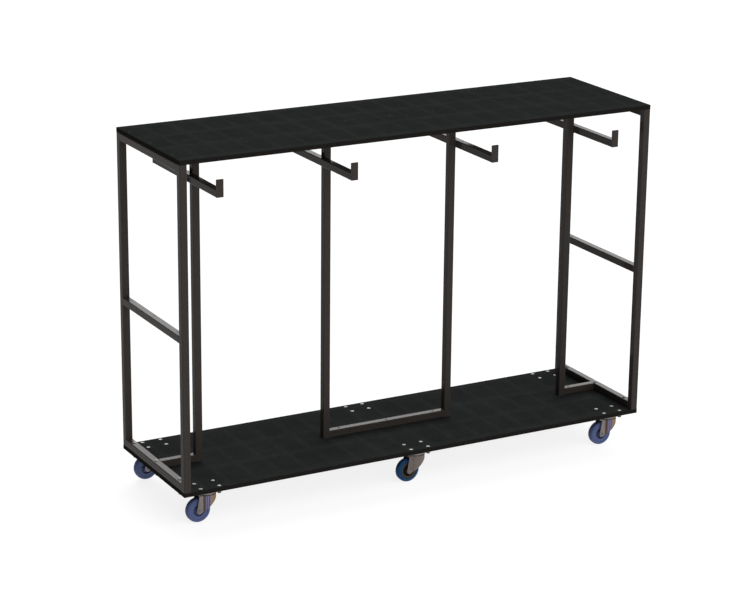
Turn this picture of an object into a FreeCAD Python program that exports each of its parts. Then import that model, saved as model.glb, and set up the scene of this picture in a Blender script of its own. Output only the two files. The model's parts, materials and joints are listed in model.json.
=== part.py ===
import FreeCAD
import Part
import math
import os

# Wheeled rack cart: a plywood deck on six swivel castors, a welded frame of square tube,
# a plywood top board, and four cross arms with upstanding stops.
# Millimetres. +X runs along the length, +Y to the rear, +Z up.
# The origin is on the floor, under the middle of the deck. The castors trail towards -X.

Vector = FreeCAD.Vector
X_AXIS = Vector(1, 0, 0)
Y_AXIS = Vector(0, 1, 0)
Z_AXIS = Vector(0, 0, 1)
CLOSE = 1e-6

# Driving dimensions of the cart
LENGTH = 2100.0
DEPTH = 600.0
BOARD = 18.0
FRAME_HEIGHT = 1300.0
TUBE = 30.0
TUBE_WALL = 2.0
TUBE_CORNER = 3.0
BOARD_EDGE = 0.8
MID_RAIL_HEIGHT = 600.0
BAY_LENGTH = 150.0
PORTAL_WIDTH = 600.0
ARM_DROP = 112.0
ARM_FRONT = 296.0
ARM_REAR = 298.0
STOP_HEIGHT = 70.0
STOP_THICK = 4.0
STOP_CORNER = 1.5

# Holes of the frame and the boards
HOLE_RADIUS = 3.5
RAIL_HOLE_PITCH = 222.0
TOP_SCREW_PITCH = 200.0
ARM_HOLES_OUTER = 267.0
ARM_HOLES_INNER = 42.0
BAY_SCREW_FROM_POST = 26.0
SHANK_GAP = 0.1
PAST = 1.0

# Domed bolts through the end frames, and the castors' bolts, with their nuts and washers
RAIL_BOLT_RADIUS = 4.0
RAIL_BOLT_HEAD = 8.5
RAIL_BOLT_DOME = 5.5
RAIL_BOLT_TIP = 15.0
CASTOR_BOLT_RADIUS = 4.0
CASTOR_BOLT_HEAD = 8.0
CASTOR_BOLT_DOME = 2.0
CASTOR_BOLT_PAST_NUT = 0.8
WASHER_THICK = 1.6
WASHER_RADIUS = 8.5
NUT_HEIGHT = 6.5
NUT_FLATS = 13.0

# Screws inside the centre rails, and the countersunk screws of the top board
RECESSED_HOLE = 4.5
RECESSED_HEAD = 4.2
RECESSED_HEAD_SIDE = 1.2
RECESSED_HEAD_TOP = 2.4
RECESSED_HEAD_HEIGHT = 3.0
RECESSED_SHANK = 2.25
RECESSED_DEPTH = 15.0
TOP_SCREW_SHANK = 2.4
TOP_SCREW_HEAD = 4.6
TOP_SCREW_LENGTH = 32.0

# Castor: 100 mm wheel, 80 x 60 bolt pattern
CASTOR_HEIGHT = 128.0
CASTOR_END_INSET = 116.5
CASTOR_SIDE_INSET = 47.0
PLATE_LENGTH = 100.0
PLATE_WIDTH = 85.0
PLATE_THICK = 3.0
PLATE_CORNER = 8.0
BOLT_PITCH_X = 79.0
BOLT_PITCH_Y = 60.0
TRAIL = 40.0
WHEEL_RADIUS = 50.0
WHEEL_WIDTH = 30.0
RIM_RADIUS = 36.0
RECESS_RADIUS = 24.5
HUB_RADIUS = 11.0
HUB_LENGTH = 39.0
RIM_DRAFT = 1.5
RIM_STEP = 1.0
WEB_THICK = 8.0
TREAD_ROUND = 9.0
TREAD_CHAMFER_SIDE = 7.0
TREAD_CHAMFER_DROP = 12.0
AXLE_RADIUS = 4.0
AXLE_HEAD_RADIUS = 6.5
AXLE_HEAD_THICK = 2.2
AXLE_HEAD_SIDE = 1.0
AXLE_HEAD_TAPER = 2.0
SLEEVE_RADIUS = 6.0
RUNNING_GAP = 0.05
FORK_WALL = 2.5
FORK_RADIUS = 36.0
FORK_HALF_WIDTH = 24.0
FORK_TOP = 114.0
FORK_TIP_RADIUS = 12.5
FORK_FRONT_SLOPE = 10.4
FORK_REAR_SLOPE = 42.5
KINGPIN_RADIUS = 6.0
KINGPIN_CAP_RADIUS = 15.0
KINGPIN_CAP_TAPER = 5.0
KINGPIN_CAP_SIDE = 1.5
KINGPIN_CAP_GAP = 0.15
KINGPIN_CAP_THICK = 4.0
BALL_RADIUS = 2.5
BALL_CIRCLE = 26.0
BALL_COUNT = 12
RACE_STEP = 1.2
RACE_GAP = 0.1
SKIRT_RADIUS = 34.5
SKIRT_WALL = 1.6
SKIRT_CLEARANCE = 0.3

# Levels and lines worked out from them
DECK_BOTTOM = CASTOR_HEIGHT
DECK_TOP = DECK_BOTTOM + BOARD
FRAME_TOP = DECK_TOP + FRAME_HEIGHT
BOARD_TOP = FRAME_TOP + BOARD
MID_RAIL_BOTTOM = DECK_TOP + MID_RAIL_HEIGHT
TOP_RAIL_BOTTOM = FRAME_TOP - TUBE
ARM_TOP = FRAME_TOP - ARM_DROP
ARM_BOTTOM = ARM_TOP - TUBE
HALF_LENGTH = LENGTH / 2
HALF_DEPTH = DEPTH / 2
END_X = HALF_LENGTH - TUBE / 2
END_POST_Y = HALF_DEPTH - TUBE / 2
BAY_POST_X = HALF_LENGTH - TUBE - BAY_LENGTH - TUBE / 2
PORTAL_POST_X = PORTAL_WIDTH / 2 - TUBE / 2
BAY_SCREW_X = BAY_POST_X + TUBE / 2 + BAY_SCREW_FROM_POST
CASTOR_X = HALF_LENGTH - CASTOR_END_INSET
CASTOR_Y = HALF_DEPTH - CASTOR_SIDE_INSET
PLATE_BOTTOM = CASTOR_HEIGHT - PLATE_THICK
RACE_RADIUS = BALL_CIRCLE + 2 * BALL_RADIUS
BALL_BOTTOM = FORK_TOP + RACE_STEP + RACE_GAP / 2
SKIRT_BOTTOM = FORK_TOP + RACE_STEP + SKIRT_CLEARANCE

CASTORS = {
    "front_left": (-CASTOR_X, -CASTOR_Y),
    "front_middle": (0.0, -CASTOR_Y),
    "front_right": (CASTOR_X, -CASTOR_Y),
    "rear_left": (-CASTOR_X, CASTOR_Y),
    "rear_middle": (0.0, CASTOR_Y),
    "rear_right": (CASTOR_X, CASTOR_Y),
}
CORNERS = [(sx, sy) for sx in (-1, 1) for sy in (-1, 1)]
END_RAIL_SPOTS = [(sx * END_X, k * RAIL_HOLE_PITCH) for sx in (-1, 1) for k in (-1, 0, 1)]
CENTRE_RAIL_SPOTS = [(k * RAIL_HOLE_PITCH, 0.0) for k in (-1, 0, 1)]
CENTRE_RAIL_SPOTS += [(sx * BAY_SCREW_X, 0.0) for sx in (-1, 1)]
TOP_END_SPOTS = [(sx * END_X, k * TOP_SCREW_PITCH) for sx in (-1, 1) for k in (-1, 0, 1)]
TOP_CENTRE_SPOTS = [(k * TOP_SCREW_PITCH, 0.0) for k in (-1, 0, 1)]
TOP_CENTRE_SPOTS += [(sx * BAY_SCREW_X, 0.0) for sx in (-1, 1)]
CASTOR_BOLT_SPOTS = [
    (x + sx * BOLT_PITCH_X / 2, y + sy * BOLT_PITCH_Y / 2)
    for x, y in CASTORS.values()
    for sx, sy in CORNERS
]


def save(node, shape):
    """Write one node, and say how much solid it holds."""
    shape.exportStep("parts/" + node + ".step")
    print(node, "solids", len(shape.Solids), "volume", round(shape.Volume, 1), "valid", shape.isValid())


def box(x0, x1, y0, y1, z0, z1):
    return Part.makeBox(x1 - x0, y1 - y0, z1 - z0, Vector(x0, y0, z0))


def cylinder(x, y, z0, z1, radius):
    return Part.makeCylinder(radius, z1 - z0, Vector(x, y, z0), Z_AXIS)


def compound(shapes):
    return Part.makeCompound(shapes)


def revolve(points, axis_at, axis):
    """Turn a closed outline, given in the plane that holds the axis, through a full circle."""
    face = Part.Face(Part.makePolygon(points + points[:1]))
    return face.revolve(axis_at, axis, 360)


def turned(profile, x, y):
    """Turn (radius, height) pairs about the vertical line through x, y."""
    points = [Vector(x + radius, y, height) for radius, height in profile]
    return revolve(points, Vector(x, y, 0), Z_AXIS)


def hexagon(x, y, z0, z1, across_flats):
    corner = across_flats / math.sqrt(3)
    turns = [math.radians(60 * k) for k in range(6)]
    points = [Vector(x + corner * math.cos(a), y + corner * math.sin(a), z0) for a in turns]
    face = Part.Face(Part.makePolygon(points + points[:1]))
    return face.extrude(Vector(0, 0, z1 - z0))


# Square tube

def rounded_bar(size, corner, length):
    """A square bar along +X with rounded long edges, centred on the axis."""
    bar = box(0, length, -size / 2, size / 2, -size / 2, size / 2)
    return bar.makeFillet(corner, [e for e in bar.Edges if is_along(e, X_AXIS)])


def is_along(edge, axis):
    """Whether a straight edge runs along an axis."""
    start, end = [v.Point for v in edge.Vertexes]
    return (end - start).cross(axis).Length < CLOSE


def tube(length):
    """An open square tube along +X."""
    outer = rounded_bar(TUBE, TUBE_CORNER, length)
    inner = rounded_bar(TUBE - 2 * TUBE_WALL, TUBE_CORNER - TUBE_WALL, length)
    return outer.cut(inner)


def tube_along_x(x0, x1, y, z_bottom):
    piece = tube(x1 - x0)
    piece.translate(Vector(x0, y, z_bottom + TUBE / 2))
    return piece


def tube_along_y(x, y0, y1, z_bottom):
    piece = tube(y1 - y0)
    piece.rotate(Vector(0, 0, 0), Z_AXIS, 90)
    piece.translate(Vector(x, y0, z_bottom + TUBE / 2))
    return piece


def post(x, y):
    """An upright tube from the deck to the top board."""
    piece = tube(FRAME_HEIGHT)
    piece.rotate(Vector(0, 0, 0), Y_AXIS, -90)
    piece.translate(Vector(x, y, DECK_TOP))
    return piece


def drill_down(shape, spots, radius, z0, z1):
    """Drill the same upright hole at each spot."""
    for x, y in spots:
        shape = shape.cut(cylinder(x, y, z0, z1, radius))
    return shape


def drill_through(shape, spots, radius, z_bottom):
    """Drill upright holes through both walls of a level tube."""
    return drill_down(shape, spots, radius, z_bottom - PAST, z_bottom + TUBE + PAST)


# Screws and bolts of the frame

def domed_bolt(x, y, seat, tip, shank, head, dome):
    """A bolt with a dome head that sits on the level seat, and a plain shank down to tip."""
    sphere_radius = (head * head + dome * dome) / (2 * dome)
    ball = Part.makeSphere(sphere_radius, Vector(x, y, seat + dome - sphere_radius))
    cap = ball.common(cylinder(x, y, seat, seat + dome, head + PAST))
    return cap.fuse(cylinder(x, y, tip, seat, shank)).removeSplitter()


def rail_bolt(x, y):
    seat = DECK_TOP + TUBE
    tip = DECK_BOTTOM - RAIL_BOLT_TIP
    return domed_bolt(x, y, seat, tip, RAIL_BOLT_RADIUS, RAIL_BOLT_HEAD, RAIL_BOLT_DOME)


def castor_bolt(x, y):
    tip = PLATE_BOTTOM - WASHER_THICK - NUT_HEIGHT - CASTOR_BOLT_PAST_NUT
    return domed_bolt(x, y, DECK_TOP, tip, CASTOR_BOLT_RADIUS, CASTOR_BOLT_HEAD, CASTOR_BOLT_DOME)


def nut_with_washer(x, y, seat, bolt_radius):
    """A hexagon nut and its washer under the level seat."""
    washer = cylinder(x, y, seat - WASHER_THICK, seat, WASHER_RADIUS)
    nut = hexagon(x, y, seat - WASHER_THICK - NUT_HEIGHT, seat - WASHER_THICK, NUT_FLATS)
    bore = cylinder(x, y, seat - 2 * NUT_HEIGHT, seat + PAST, bolt_radius + SHANK_GAP)
    return [washer.cut(bore), nut.cut(bore)]


def recessed_screw(x, y):
    """A pan-head screw that sits on the lower wall inside a rail."""
    seat = DECK_TOP + TUBE_WALL
    crown = seat + RECESSED_HEAD_HEIGHT
    head = [(0, seat), (RECESSED_HEAD, seat), (RECESSED_HEAD, seat + RECESSED_HEAD_SIDE)]
    head += [(RECESSED_HEAD_TOP, crown), (0, crown)]
    shank = cylinder(x, y, seat - RECESSED_DEPTH, seat, RECESSED_SHANK)
    return turned(head, x, y).fuse(shank)


def top_screw(x, y):
    """A countersunk screw, flush with the top board."""
    cone = BOARD_TOP - (TOP_SCREW_HEAD - TOP_SCREW_SHANK)
    outline = [(0, BOARD_TOP), (TOP_SCREW_HEAD, BOARD_TOP), (TOP_SCREW_SHANK, cone)]
    outline += [(TOP_SCREW_SHANK, BOARD_TOP - TOP_SCREW_LENGTH), (0, BOARD_TOP - TOP_SCREW_LENGTH)]
    return turned(outline, x, y)


def top_screw_hole(x, y):
    """The countersunk hole for that screw, with its clearance."""
    wide = TOP_SCREW_HEAD + SHANK_GAP
    narrow = TOP_SCREW_SHANK + SHANK_GAP
    cone = BOARD_TOP - (wide - narrow)
    over = BOARD_TOP + PAST
    under = FRAME_TOP - PAST
    outline = [(0, over), (wide, over), (wide, BOARD_TOP), (narrow, cone), (narrow, under), (0, under)]
    return turned(outline, x, y)


# Boards

def board(z0, z1):
    """A plywood board with its sharp edges just broken."""
    sheet = box(-HALF_LENGTH, HALF_LENGTH, -HALF_DEPTH, HALF_DEPTH, z0, z1)
    return sheet.makeChamfer(BOARD_EDGE, sheet.Edges)


def make_boards():
    deck = board(DECK_BOTTOM, DECK_TOP)
    below = DECK_BOTTOM - PAST
    above = DECK_TOP + PAST
    deck = drill_down(deck, END_RAIL_SPOTS, RAIL_BOLT_RADIUS + SHANK_GAP, below, above)
    deck = drill_down(deck, CASTOR_BOLT_SPOTS, CASTOR_BOLT_RADIUS + SHANK_GAP, below, above)
    pilot_bottom = DECK_TOP + TUBE_WALL - RECESSED_DEPTH
    deck = drill_down(deck, CENTRE_RAIL_SPOTS, RECESSED_SHANK + SHANK_GAP, pilot_bottom, above)
    save("deck_board", deck)
    top = board(FRAME_TOP, BOARD_TOP)
    for x, y in TOP_END_SPOTS + TOP_CENTRE_SPOTS:
        top = top.cut(top_screw_hole(x, y))
    save("top_board", top)


# Frames

def make_end_frame(side, sign):
    """Two posts with a bottom, a middle and a top rail between them."""
    x = sign * END_X
    y_inner = HALF_DEPTH - TUBE
    save(side + "_end_front_post", post(x, -END_POST_Y))
    save(side + "_end_rear_post", post(x, END_POST_Y))
    bottom = tube_along_y(x, -y_inner, y_inner, DECK_TOP)
    bottom = drill_through(bottom, END_RAIL_SPOTS, RAIL_BOLT_RADIUS + SHANK_GAP, DECK_TOP)
    save(side + "_end_bottom_rail", bottom)
    middle = tube_along_y(x, -y_inner, y_inner, MID_RAIL_BOTTOM)
    middle = drill_through(middle, END_RAIL_SPOTS, HOLE_RADIUS, MID_RAIL_BOTTOM)
    save(side + "_end_middle_rail", middle)
    top = tube_along_y(x, -y_inner, y_inner, TOP_RAIL_BOTTOM)
    top = drill_for_top_screws(top, TOP_END_SPOTS)
    save(side + "_end_top_rail", top)


def drill_for_top_screws(rail, spots):
    """Holes in the upper wall only."""
    below_wall = FRAME_TOP - 2 * TUBE_WALL
    return drill_down(rail, spots, TOP_SCREW_SHANK + SHANK_GAP, below_wall, FRAME_TOP + PAST)


def drill_for_recessed_screws(rail):
    """A wide access hole in the upper wall and a narrow one in the lower wall."""
    middle = DECK_TOP + TUBE / 2
    rail = drill_down(rail, CENTRE_RAIL_SPOTS, RECESSED_HOLE, middle, DECK_TOP + TUBE + PAST)
    return drill_down(rail, CENTRE_RAIL_SPOTS, RECESSED_SHANK + SHANK_GAP, DECK_TOP - PAST, middle)


def make_centre_rails(name, x0, x1):
    """A bottom rail on the deck and a top rail under the top board, on the centre line."""
    bottom = tube_along_x(x0, x1, 0, DECK_TOP)
    save(name + "_bottom_rail", drill_for_recessed_screws(bottom))
    top = tube_along_x(x0, x1, 0, TOP_RAIL_BOTTOM)
    save(name + "_top_rail", drill_for_top_screws(top, TOP_CENTRE_SPOTS))


def make_centre_frames():
    """A portal in the middle, and a short bay that ties each end frame to its own post."""
    inner = PORTAL_POST_X - TUBE / 2
    save("portal_left_post", post(-PORTAL_POST_X, 0))
    save("portal_right_post", post(PORTAL_POST_X, 0))
    make_centre_rails("portal", -inner, inner)
    far = HALF_LENGTH - TUBE
    near = far - BAY_LENGTH
    save("left_bay_post", post(-BAY_POST_X, 0))
    save("right_bay_post", post(BAY_POST_X, 0))
    make_centre_rails("left_bay", -far, -near)
    make_centre_rails("right_bay", near, far)


# Cross arms

ARMS = {
    "left_outer_arm": (-BAY_POST_X - TUBE, True),
    "left_inner_arm": (-PORTAL_POST_X - TUBE, False),
    "right_inner_arm": (PORTAL_POST_X + TUBE, False),
    "right_outer_arm": (BAY_POST_X + TUBE, True),
}


def make_arms():
    """Tubes along Y beside the posts. The outer pair is drilled sideways, the inner pair upright."""
    stops = []
    for name, (x, sideways) in ARMS.items():
        arm = tube_along_y(x, -ARM_FRONT + STOP_THICK, ARM_REAR - STOP_THICK, ARM_BOTTOM)
        if sideways:
            for y in (-ARM_HOLES_OUTER, -ARM_HOLES_INNER, ARM_HOLES_INNER, ARM_HOLES_OUTER):
                start = Vector(x - TUBE, y, ARM_BOTTOM + TUBE / 2)
                arm = arm.cut(Part.makeCylinder(HOLE_RADIUS, 2 * TUBE, start, X_AXIS))
        else:
            spots = [(x, -ARM_HOLES_INNER), (x, ARM_HOLES_INNER)]
            arm = drill_through(arm, spots, HOLE_RADIUS, ARM_BOTTOM)
        save(name, arm)
        stops.append(stop_plate(x, -ARM_FRONT))
        stops.append(stop_plate(x, ARM_REAR - STOP_THICK))
    save("arm_stop_plates", compound(stops))


def stop_plate(x, y0):
    """A flat plate, as wide as the arm, that closes its end and stands up above it."""
    plate = box(x - TUBE / 2, x + TUBE / 2, y0, y0 + STOP_THICK, ARM_BOTTOM, ARM_BOTTOM + STOP_HEIGHT)
    return plate.makeFillet(STOP_CORNER, [e for e in plate.Edges if is_along(e, Y_AXIS)])


# Castors, built with the swivel axis at x, y and the floor at 0

def castor_plate(x, y):
    """The top plate, with its upper ball race pressed down as a cup whose skirt shields the balls."""
    half_x = PLATE_LENGTH / 2
    half_y = PLATE_WIDTH / 2
    plate = box(x - half_x, x + half_x, y - half_y, y + half_y, PLATE_BOTTOM, CASTOR_HEIGHT)
    plate = plate.makeFillet(PLATE_CORNER, [e for e in plate.Edges if is_along(e, Z_AXIS)])
    race_bottom = BALL_BOTTOM + 2 * BALL_RADIUS + RACE_GAP / 2
    cup = cylinder(x, y, SKIRT_BOTTOM, PLATE_BOTTOM, SKIRT_RADIUS)
    chamber = cylinder(x, y, SKIRT_BOTTOM - PAST, race_bottom, SKIRT_RADIUS - SKIRT_WALL)
    plate = plate.fuse(cup.cut(chamber)).removeSplitter()
    low = SKIRT_BOTTOM - PAST
    high = CASTOR_HEIGHT + PAST
    plate = drill_down(plate, [(x, y)], KINGPIN_RADIUS + SHANK_GAP, low, high)
    spots = [(x + sx * BOLT_PITCH_X / 2, y + sy * BOLT_PITCH_Y / 2) for sx, sy in CORNERS]
    return drill_down(plate, spots, CASTOR_BOLT_RADIUS + SHANK_GAP, PLATE_BOTTOM - PAST, high)


def kingpin(x, y):
    """The pin that holds the fork up to the plate, with its cap under the crown."""
    cap_top = FORK_TOP - FORK_WALL - KINGPIN_CAP_GAP
    cap_bottom = cap_top - KINGPIN_CAP_THICK
    outline = [(0, CASTOR_HEIGHT), (KINGPIN_RADIUS, CASTOR_HEIGHT), (KINGPIN_RADIUS, cap_top)]
    outline += [(KINGPIN_CAP_RADIUS, cap_top), (KINGPIN_CAP_RADIUS, cap_top - KINGPIN_CAP_SIDE)]
    outline += [(KINGPIN_CAP_RADIUS - KINGPIN_CAP_TAPER, cap_bottom), (0, cap_bottom)]
    return turned(outline, x, y)


def bearing_balls(x, y):
    """The ring of balls between the plate's race and the fork's crown."""
    height = BALL_BOTTOM + BALL_RADIUS
    balls = []
    for k in range(BALL_COUNT):
        a = 2 * math.pi * k / BALL_COUNT
        centre = Vector(x + BALL_CIRCLE * math.cos(a), y + BALL_CIRCLE * math.sin(a), height)
        balls.append(Part.makeSphere(BALL_RADIUS, centre))
    return balls


def fork_plan(radius, half_width, front):
    """Plan outline: a round back about the swivel axis that runs into two flat legs."""
    meet_x = -math.sqrt(radius * radius - half_width * half_width)
    near = Vector(meet_x, -half_width, 0)
    far = Vector(meet_x, half_width, 0)
    near_front = Vector(front, -half_width, 0)
    far_front = Vector(front, half_width, 0)
    edges = [
        Part.makeLine(near_front, near),
        Part.Arc(near, Vector(radius, 0, 0), far).toShape(),
        Part.makeLine(far, far_front),
        Part.makeLine(far_front, near_front),
    ]
    return Part.Face(Part.Wire(edges))


def on_tip(angle):
    """A point of the round tip about the axle, at an angle from straight down towards the rear."""
    a = math.radians(angle)
    height = WHEEL_RADIUS - FORK_TIP_RADIUS * math.cos(a)
    return Vector(-TRAIL + FORK_TIP_RADIUS * math.sin(a), 0, height)


def fork_side():
    """Side outline: a tip around the axle, a steep front edge and a slanted rear edge."""
    over = FORK_TOP + PAST
    behind = FORK_RADIUS + PAST
    front_low = on_tip(-90 - FORK_FRONT_SLOPE)
    rear_low = on_tip(FORK_REAR_SLOPE)
    front_run = (over - front_low.z) * math.tan(math.radians(FORK_FRONT_SLOPE))
    rear_rise = (behind - rear_low.x) * math.tan(math.radians(FORK_REAR_SLOPE))
    front_high = Vector(front_low.x + front_run, 0, over)
    rear_high = Vector(behind, 0, rear_low.z + rear_rise)
    rear_over = Vector(behind, 0, over)
    edges = [
        Part.makeLine(front_high, front_low),
        Part.Arc(front_low, on_tip(-FORK_REAR_SLOPE / 2), rear_low).toShape(),
        Part.makeLine(rear_low, rear_high),
        Part.makeLine(rear_high, rear_over),
        Part.makeLine(rear_over, front_high),
    ]
    return Part.Face(Part.Wire(edges))


def fork(x, y):
    """Pressed fork: a crown plate with a race step, a curved back wall and two legs."""
    low = WHEEL_RADIUS - 2 * FORK_TIP_RADIUS
    front = -TRAIL - 2 * FORK_TIP_RADIUS
    outer = fork_plan(FORK_RADIUS, FORK_HALF_WIDTH, front).extrude(Z_AXIS * (FORK_TOP - low))
    outer.translate(Vector(0, 0, low))
    top_edges = [e for e in outer.Edges if min(v.Point.z for v in e.Vertexes) > FORK_TOP - CLOSE]
    outer = outer.makeFillet(FORK_WALL, top_edges)
    ceiling = FORK_TOP - FORK_WALL
    inner = fork_plan(FORK_RADIUS - FORK_WALL, FORK_HALF_WIDTH - FORK_WALL, front - PAST)
    inner = inner.extrude(Z_AXIS * (ceiling - low + PAST))
    inner.translate(Vector(0, 0, low - PAST))
    side = fork_side().extrude(Y_AXIS * (4 * FORK_HALF_WIDTH))
    side.translate(Vector(0, -2 * FORK_HALF_WIDTH, 0))
    body = outer.cut(inner).common(side)
    step = cylinder(0, 0, ceiling, FORK_TOP + RACE_STEP, RACE_RADIUS)
    body = body.fuse(step).removeSplitter()
    bore = KINGPIN_RADIUS + RUNNING_GAP
    body = drill_down(body, [(0, 0)], bore, ceiling - PAST, FORK_TOP + RACE_STEP + PAST)
    start = Vector(-TRAIL, -2 * FORK_HALF_WIDTH, WHEEL_RADIUS)
    body = body.cut(Part.makeCylinder(AXLE_RADIUS + SHANK_GAP, 4 * FORK_HALF_WIDTH, start, Y_AXIS))
    body.translate(Vector(x, y, 0))
    return body


def wheel_turned(profile, x, y):
    """Turn (radius, offset along the axle) pairs about the axle of the castor at x, y."""
    points = [Vector(x - TRAIL + radius, y + offset, WHEEL_RADIUS) for radius, offset in profile]
    return revolve(points, Vector(x - TRAIL, y, WHEEL_RADIUS), Y_AXIS)


def axle(x, y):
    """A riveted axle with a head outside each leg and a spacer sleeve between the legs."""
    inside = FORK_HALF_WIDTH - FORK_WALL
    outside = FORK_HALF_WIDTH
    end = outside + AXLE_HEAD_THICK
    half = [(SLEEVE_RADIUS, inside), (AXLE_RADIUS, inside), (AXLE_RADIUS, outside)]
    half += [(AXLE_HEAD_RADIUS, outside), (AXLE_HEAD_RADIUS, outside + AXLE_HEAD_SIDE)]
    half += [(AXLE_HEAD_RADIUS - AXLE_HEAD_TAPER, end), (0, end)]
    mirrored = [(radius, -offset) for radius, offset in reversed(half)]
    return wheel_turned(mirrored + half, x, y)


def rim(x, y):
    """Hub boss, thin web and outer ring, in one moulding."""
    bore = SLEEVE_RADIUS + RUNNING_GAP
    ring = WHEEL_WIDTH / 2 - RIM_STEP
    web = WEB_THICK / 2
    hub = HUB_LENGTH / 2
    half = [(bore, hub), (HUB_RADIUS, hub), (HUB_RADIUS + RIM_DRAFT, web)]
    half += [(RECESS_RADIUS - RIM_DRAFT, web), (RECESS_RADIUS, ring), (RIM_RADIUS, ring)]
    mirrored = [(radius, -offset) for radius, offset in reversed(half)]
    return wheel_turned(half + mirrored, x, y)


def tyre(x, y, round_tread):
    """A tyre ring: round shoulders on the corner castors, bevelled shoulders in the middle."""
    half_width = WHEEL_WIDTH / 2
    edge = WHEEL_RADIUS if round_tread else WHEEL_RADIUS - TREAD_CHAMFER_DROP
    ring = [(RIM_RADIUS, -half_width), (edge, -half_width)]
    if not round_tread:
        flat = half_width - TREAD_CHAMFER_SIDE
        ring += [(WHEEL_RADIUS, -flat), (WHEEL_RADIUS, flat)]
    ring += [(edge, half_width), (RIM_RADIUS, half_width)]
    body = wheel_turned(ring, x, y)
    if round_tread:
        rims = [e for e in body.Edges if is_circle(e, WHEEL_RADIUS)]
        body = body.makeFillet(TREAD_ROUND, rims)
    return body


def is_circle(edge, radius):
    return isinstance(edge.Curve, Part.Circle) and abs(edge.Curve.Radius - radius) < CLOSE


def make_castors():
    plates = []
    pins = []
    balls = []
    for name, (x, y) in CASTORS.items():
        plates.append(castor_plate(x, y))
        pins.append(kingpin(x, y))
        balls += bearing_balls(x, y)
        save(name + "_fork", fork(x, y))
        save(name + "_axle", axle(x, y))
        save(name + "_rim", rim(x, y))
        save(name + "_tyre", tyre(x, y, "middle" not in name))
    save("castor_plates", compound(plates))
    save("castor_kingpins", compound(pins))
    save("castor_bearing_balls", compound(balls))


def make_fasteners():
    """Bolts, nuts and screws, each kind as one group of separate solids."""
    bolts = []
    nuts = []
    for x, y in CASTOR_BOLT_SPOTS:
        bolts.append(castor_bolt(x, y))
        nuts += nut_with_washer(x, y, PLATE_BOTTOM, CASTOR_BOLT_RADIUS)
    save("castor_bolts", compound(bolts))
    save("castor_nuts", compound(nuts))
    save("rail_bolts", compound([rail_bolt(x, y) for x, y in END_RAIL_SPOTS]))
    rail_nuts = []
    for x, y in END_RAIL_SPOTS:
        rail_nuts += nut_with_washer(x, y, DECK_BOTTOM, RAIL_BOLT_RADIUS)
    save("rail_nuts", compound(rail_nuts))
    save("recessed_rail_screws", compound([recessed_screw(x, y) for x, y in CENTRE_RAIL_SPOTS]))
    save("top_board_screws", compound([top_screw(x, y) for x, y in TOP_END_SPOTS + TOP_CENTRE_SPOTS]))


os.makedirs("parts", exist_ok=True)
make_boards()
make_end_frame("left", -1)
make_end_frame("right", 1)
make_centre_frames()
make_arms()
make_castors()
make_fasteners()
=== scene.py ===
"""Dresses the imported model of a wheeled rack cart: boards, tube frame, welds, castors and fasteners."""
import json
import logging
import math
from dataclasses import dataclass
from enum import Enum
from typing import Callable, Iterable, Sequence, Union

import bmesh
import bpy
from mathutils import Matrix, Vector


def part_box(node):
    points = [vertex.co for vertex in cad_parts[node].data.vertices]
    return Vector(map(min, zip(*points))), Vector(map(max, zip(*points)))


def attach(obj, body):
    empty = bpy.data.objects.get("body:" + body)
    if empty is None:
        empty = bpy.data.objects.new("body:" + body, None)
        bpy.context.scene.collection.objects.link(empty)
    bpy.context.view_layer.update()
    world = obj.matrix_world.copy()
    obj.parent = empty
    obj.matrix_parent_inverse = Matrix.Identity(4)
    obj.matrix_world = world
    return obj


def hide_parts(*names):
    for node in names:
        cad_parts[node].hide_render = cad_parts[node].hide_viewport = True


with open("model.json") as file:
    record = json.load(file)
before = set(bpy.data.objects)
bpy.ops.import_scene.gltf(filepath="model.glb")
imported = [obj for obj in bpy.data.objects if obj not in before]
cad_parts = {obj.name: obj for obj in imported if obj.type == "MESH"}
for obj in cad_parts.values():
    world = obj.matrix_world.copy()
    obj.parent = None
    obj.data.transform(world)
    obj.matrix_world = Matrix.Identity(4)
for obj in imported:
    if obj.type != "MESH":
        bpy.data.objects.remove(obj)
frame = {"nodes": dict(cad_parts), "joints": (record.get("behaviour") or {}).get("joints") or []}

log = logging.getLogger("rack_cart")

MM = 0.001
X_AXIS = Vector((1, 0, 0))
Y_AXIS = Vector((0, 1, 0))
Z_AXIS = Vector((0, 0, 1))
FULL_TURN = 2 * math.pi
WHITE = (1.0, 1.0, 1.0)
CHASSIS = "chassis"
CASTOR_NAMES = ("front_left", "front_middle", "front_right", "rear_left", "rear_middle", "rear_right")

BMesh = bmesh.types.BMesh
Mesh = bpy.types.Mesh
Node = bpy.types.Node
Socket = bpy.types.NodeSocket
Value = Union[Socket, float, Sequence[float]]
Colour = tuple[float, float, float]
Profile = list[tuple[float, float]]


# Shader building

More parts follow.
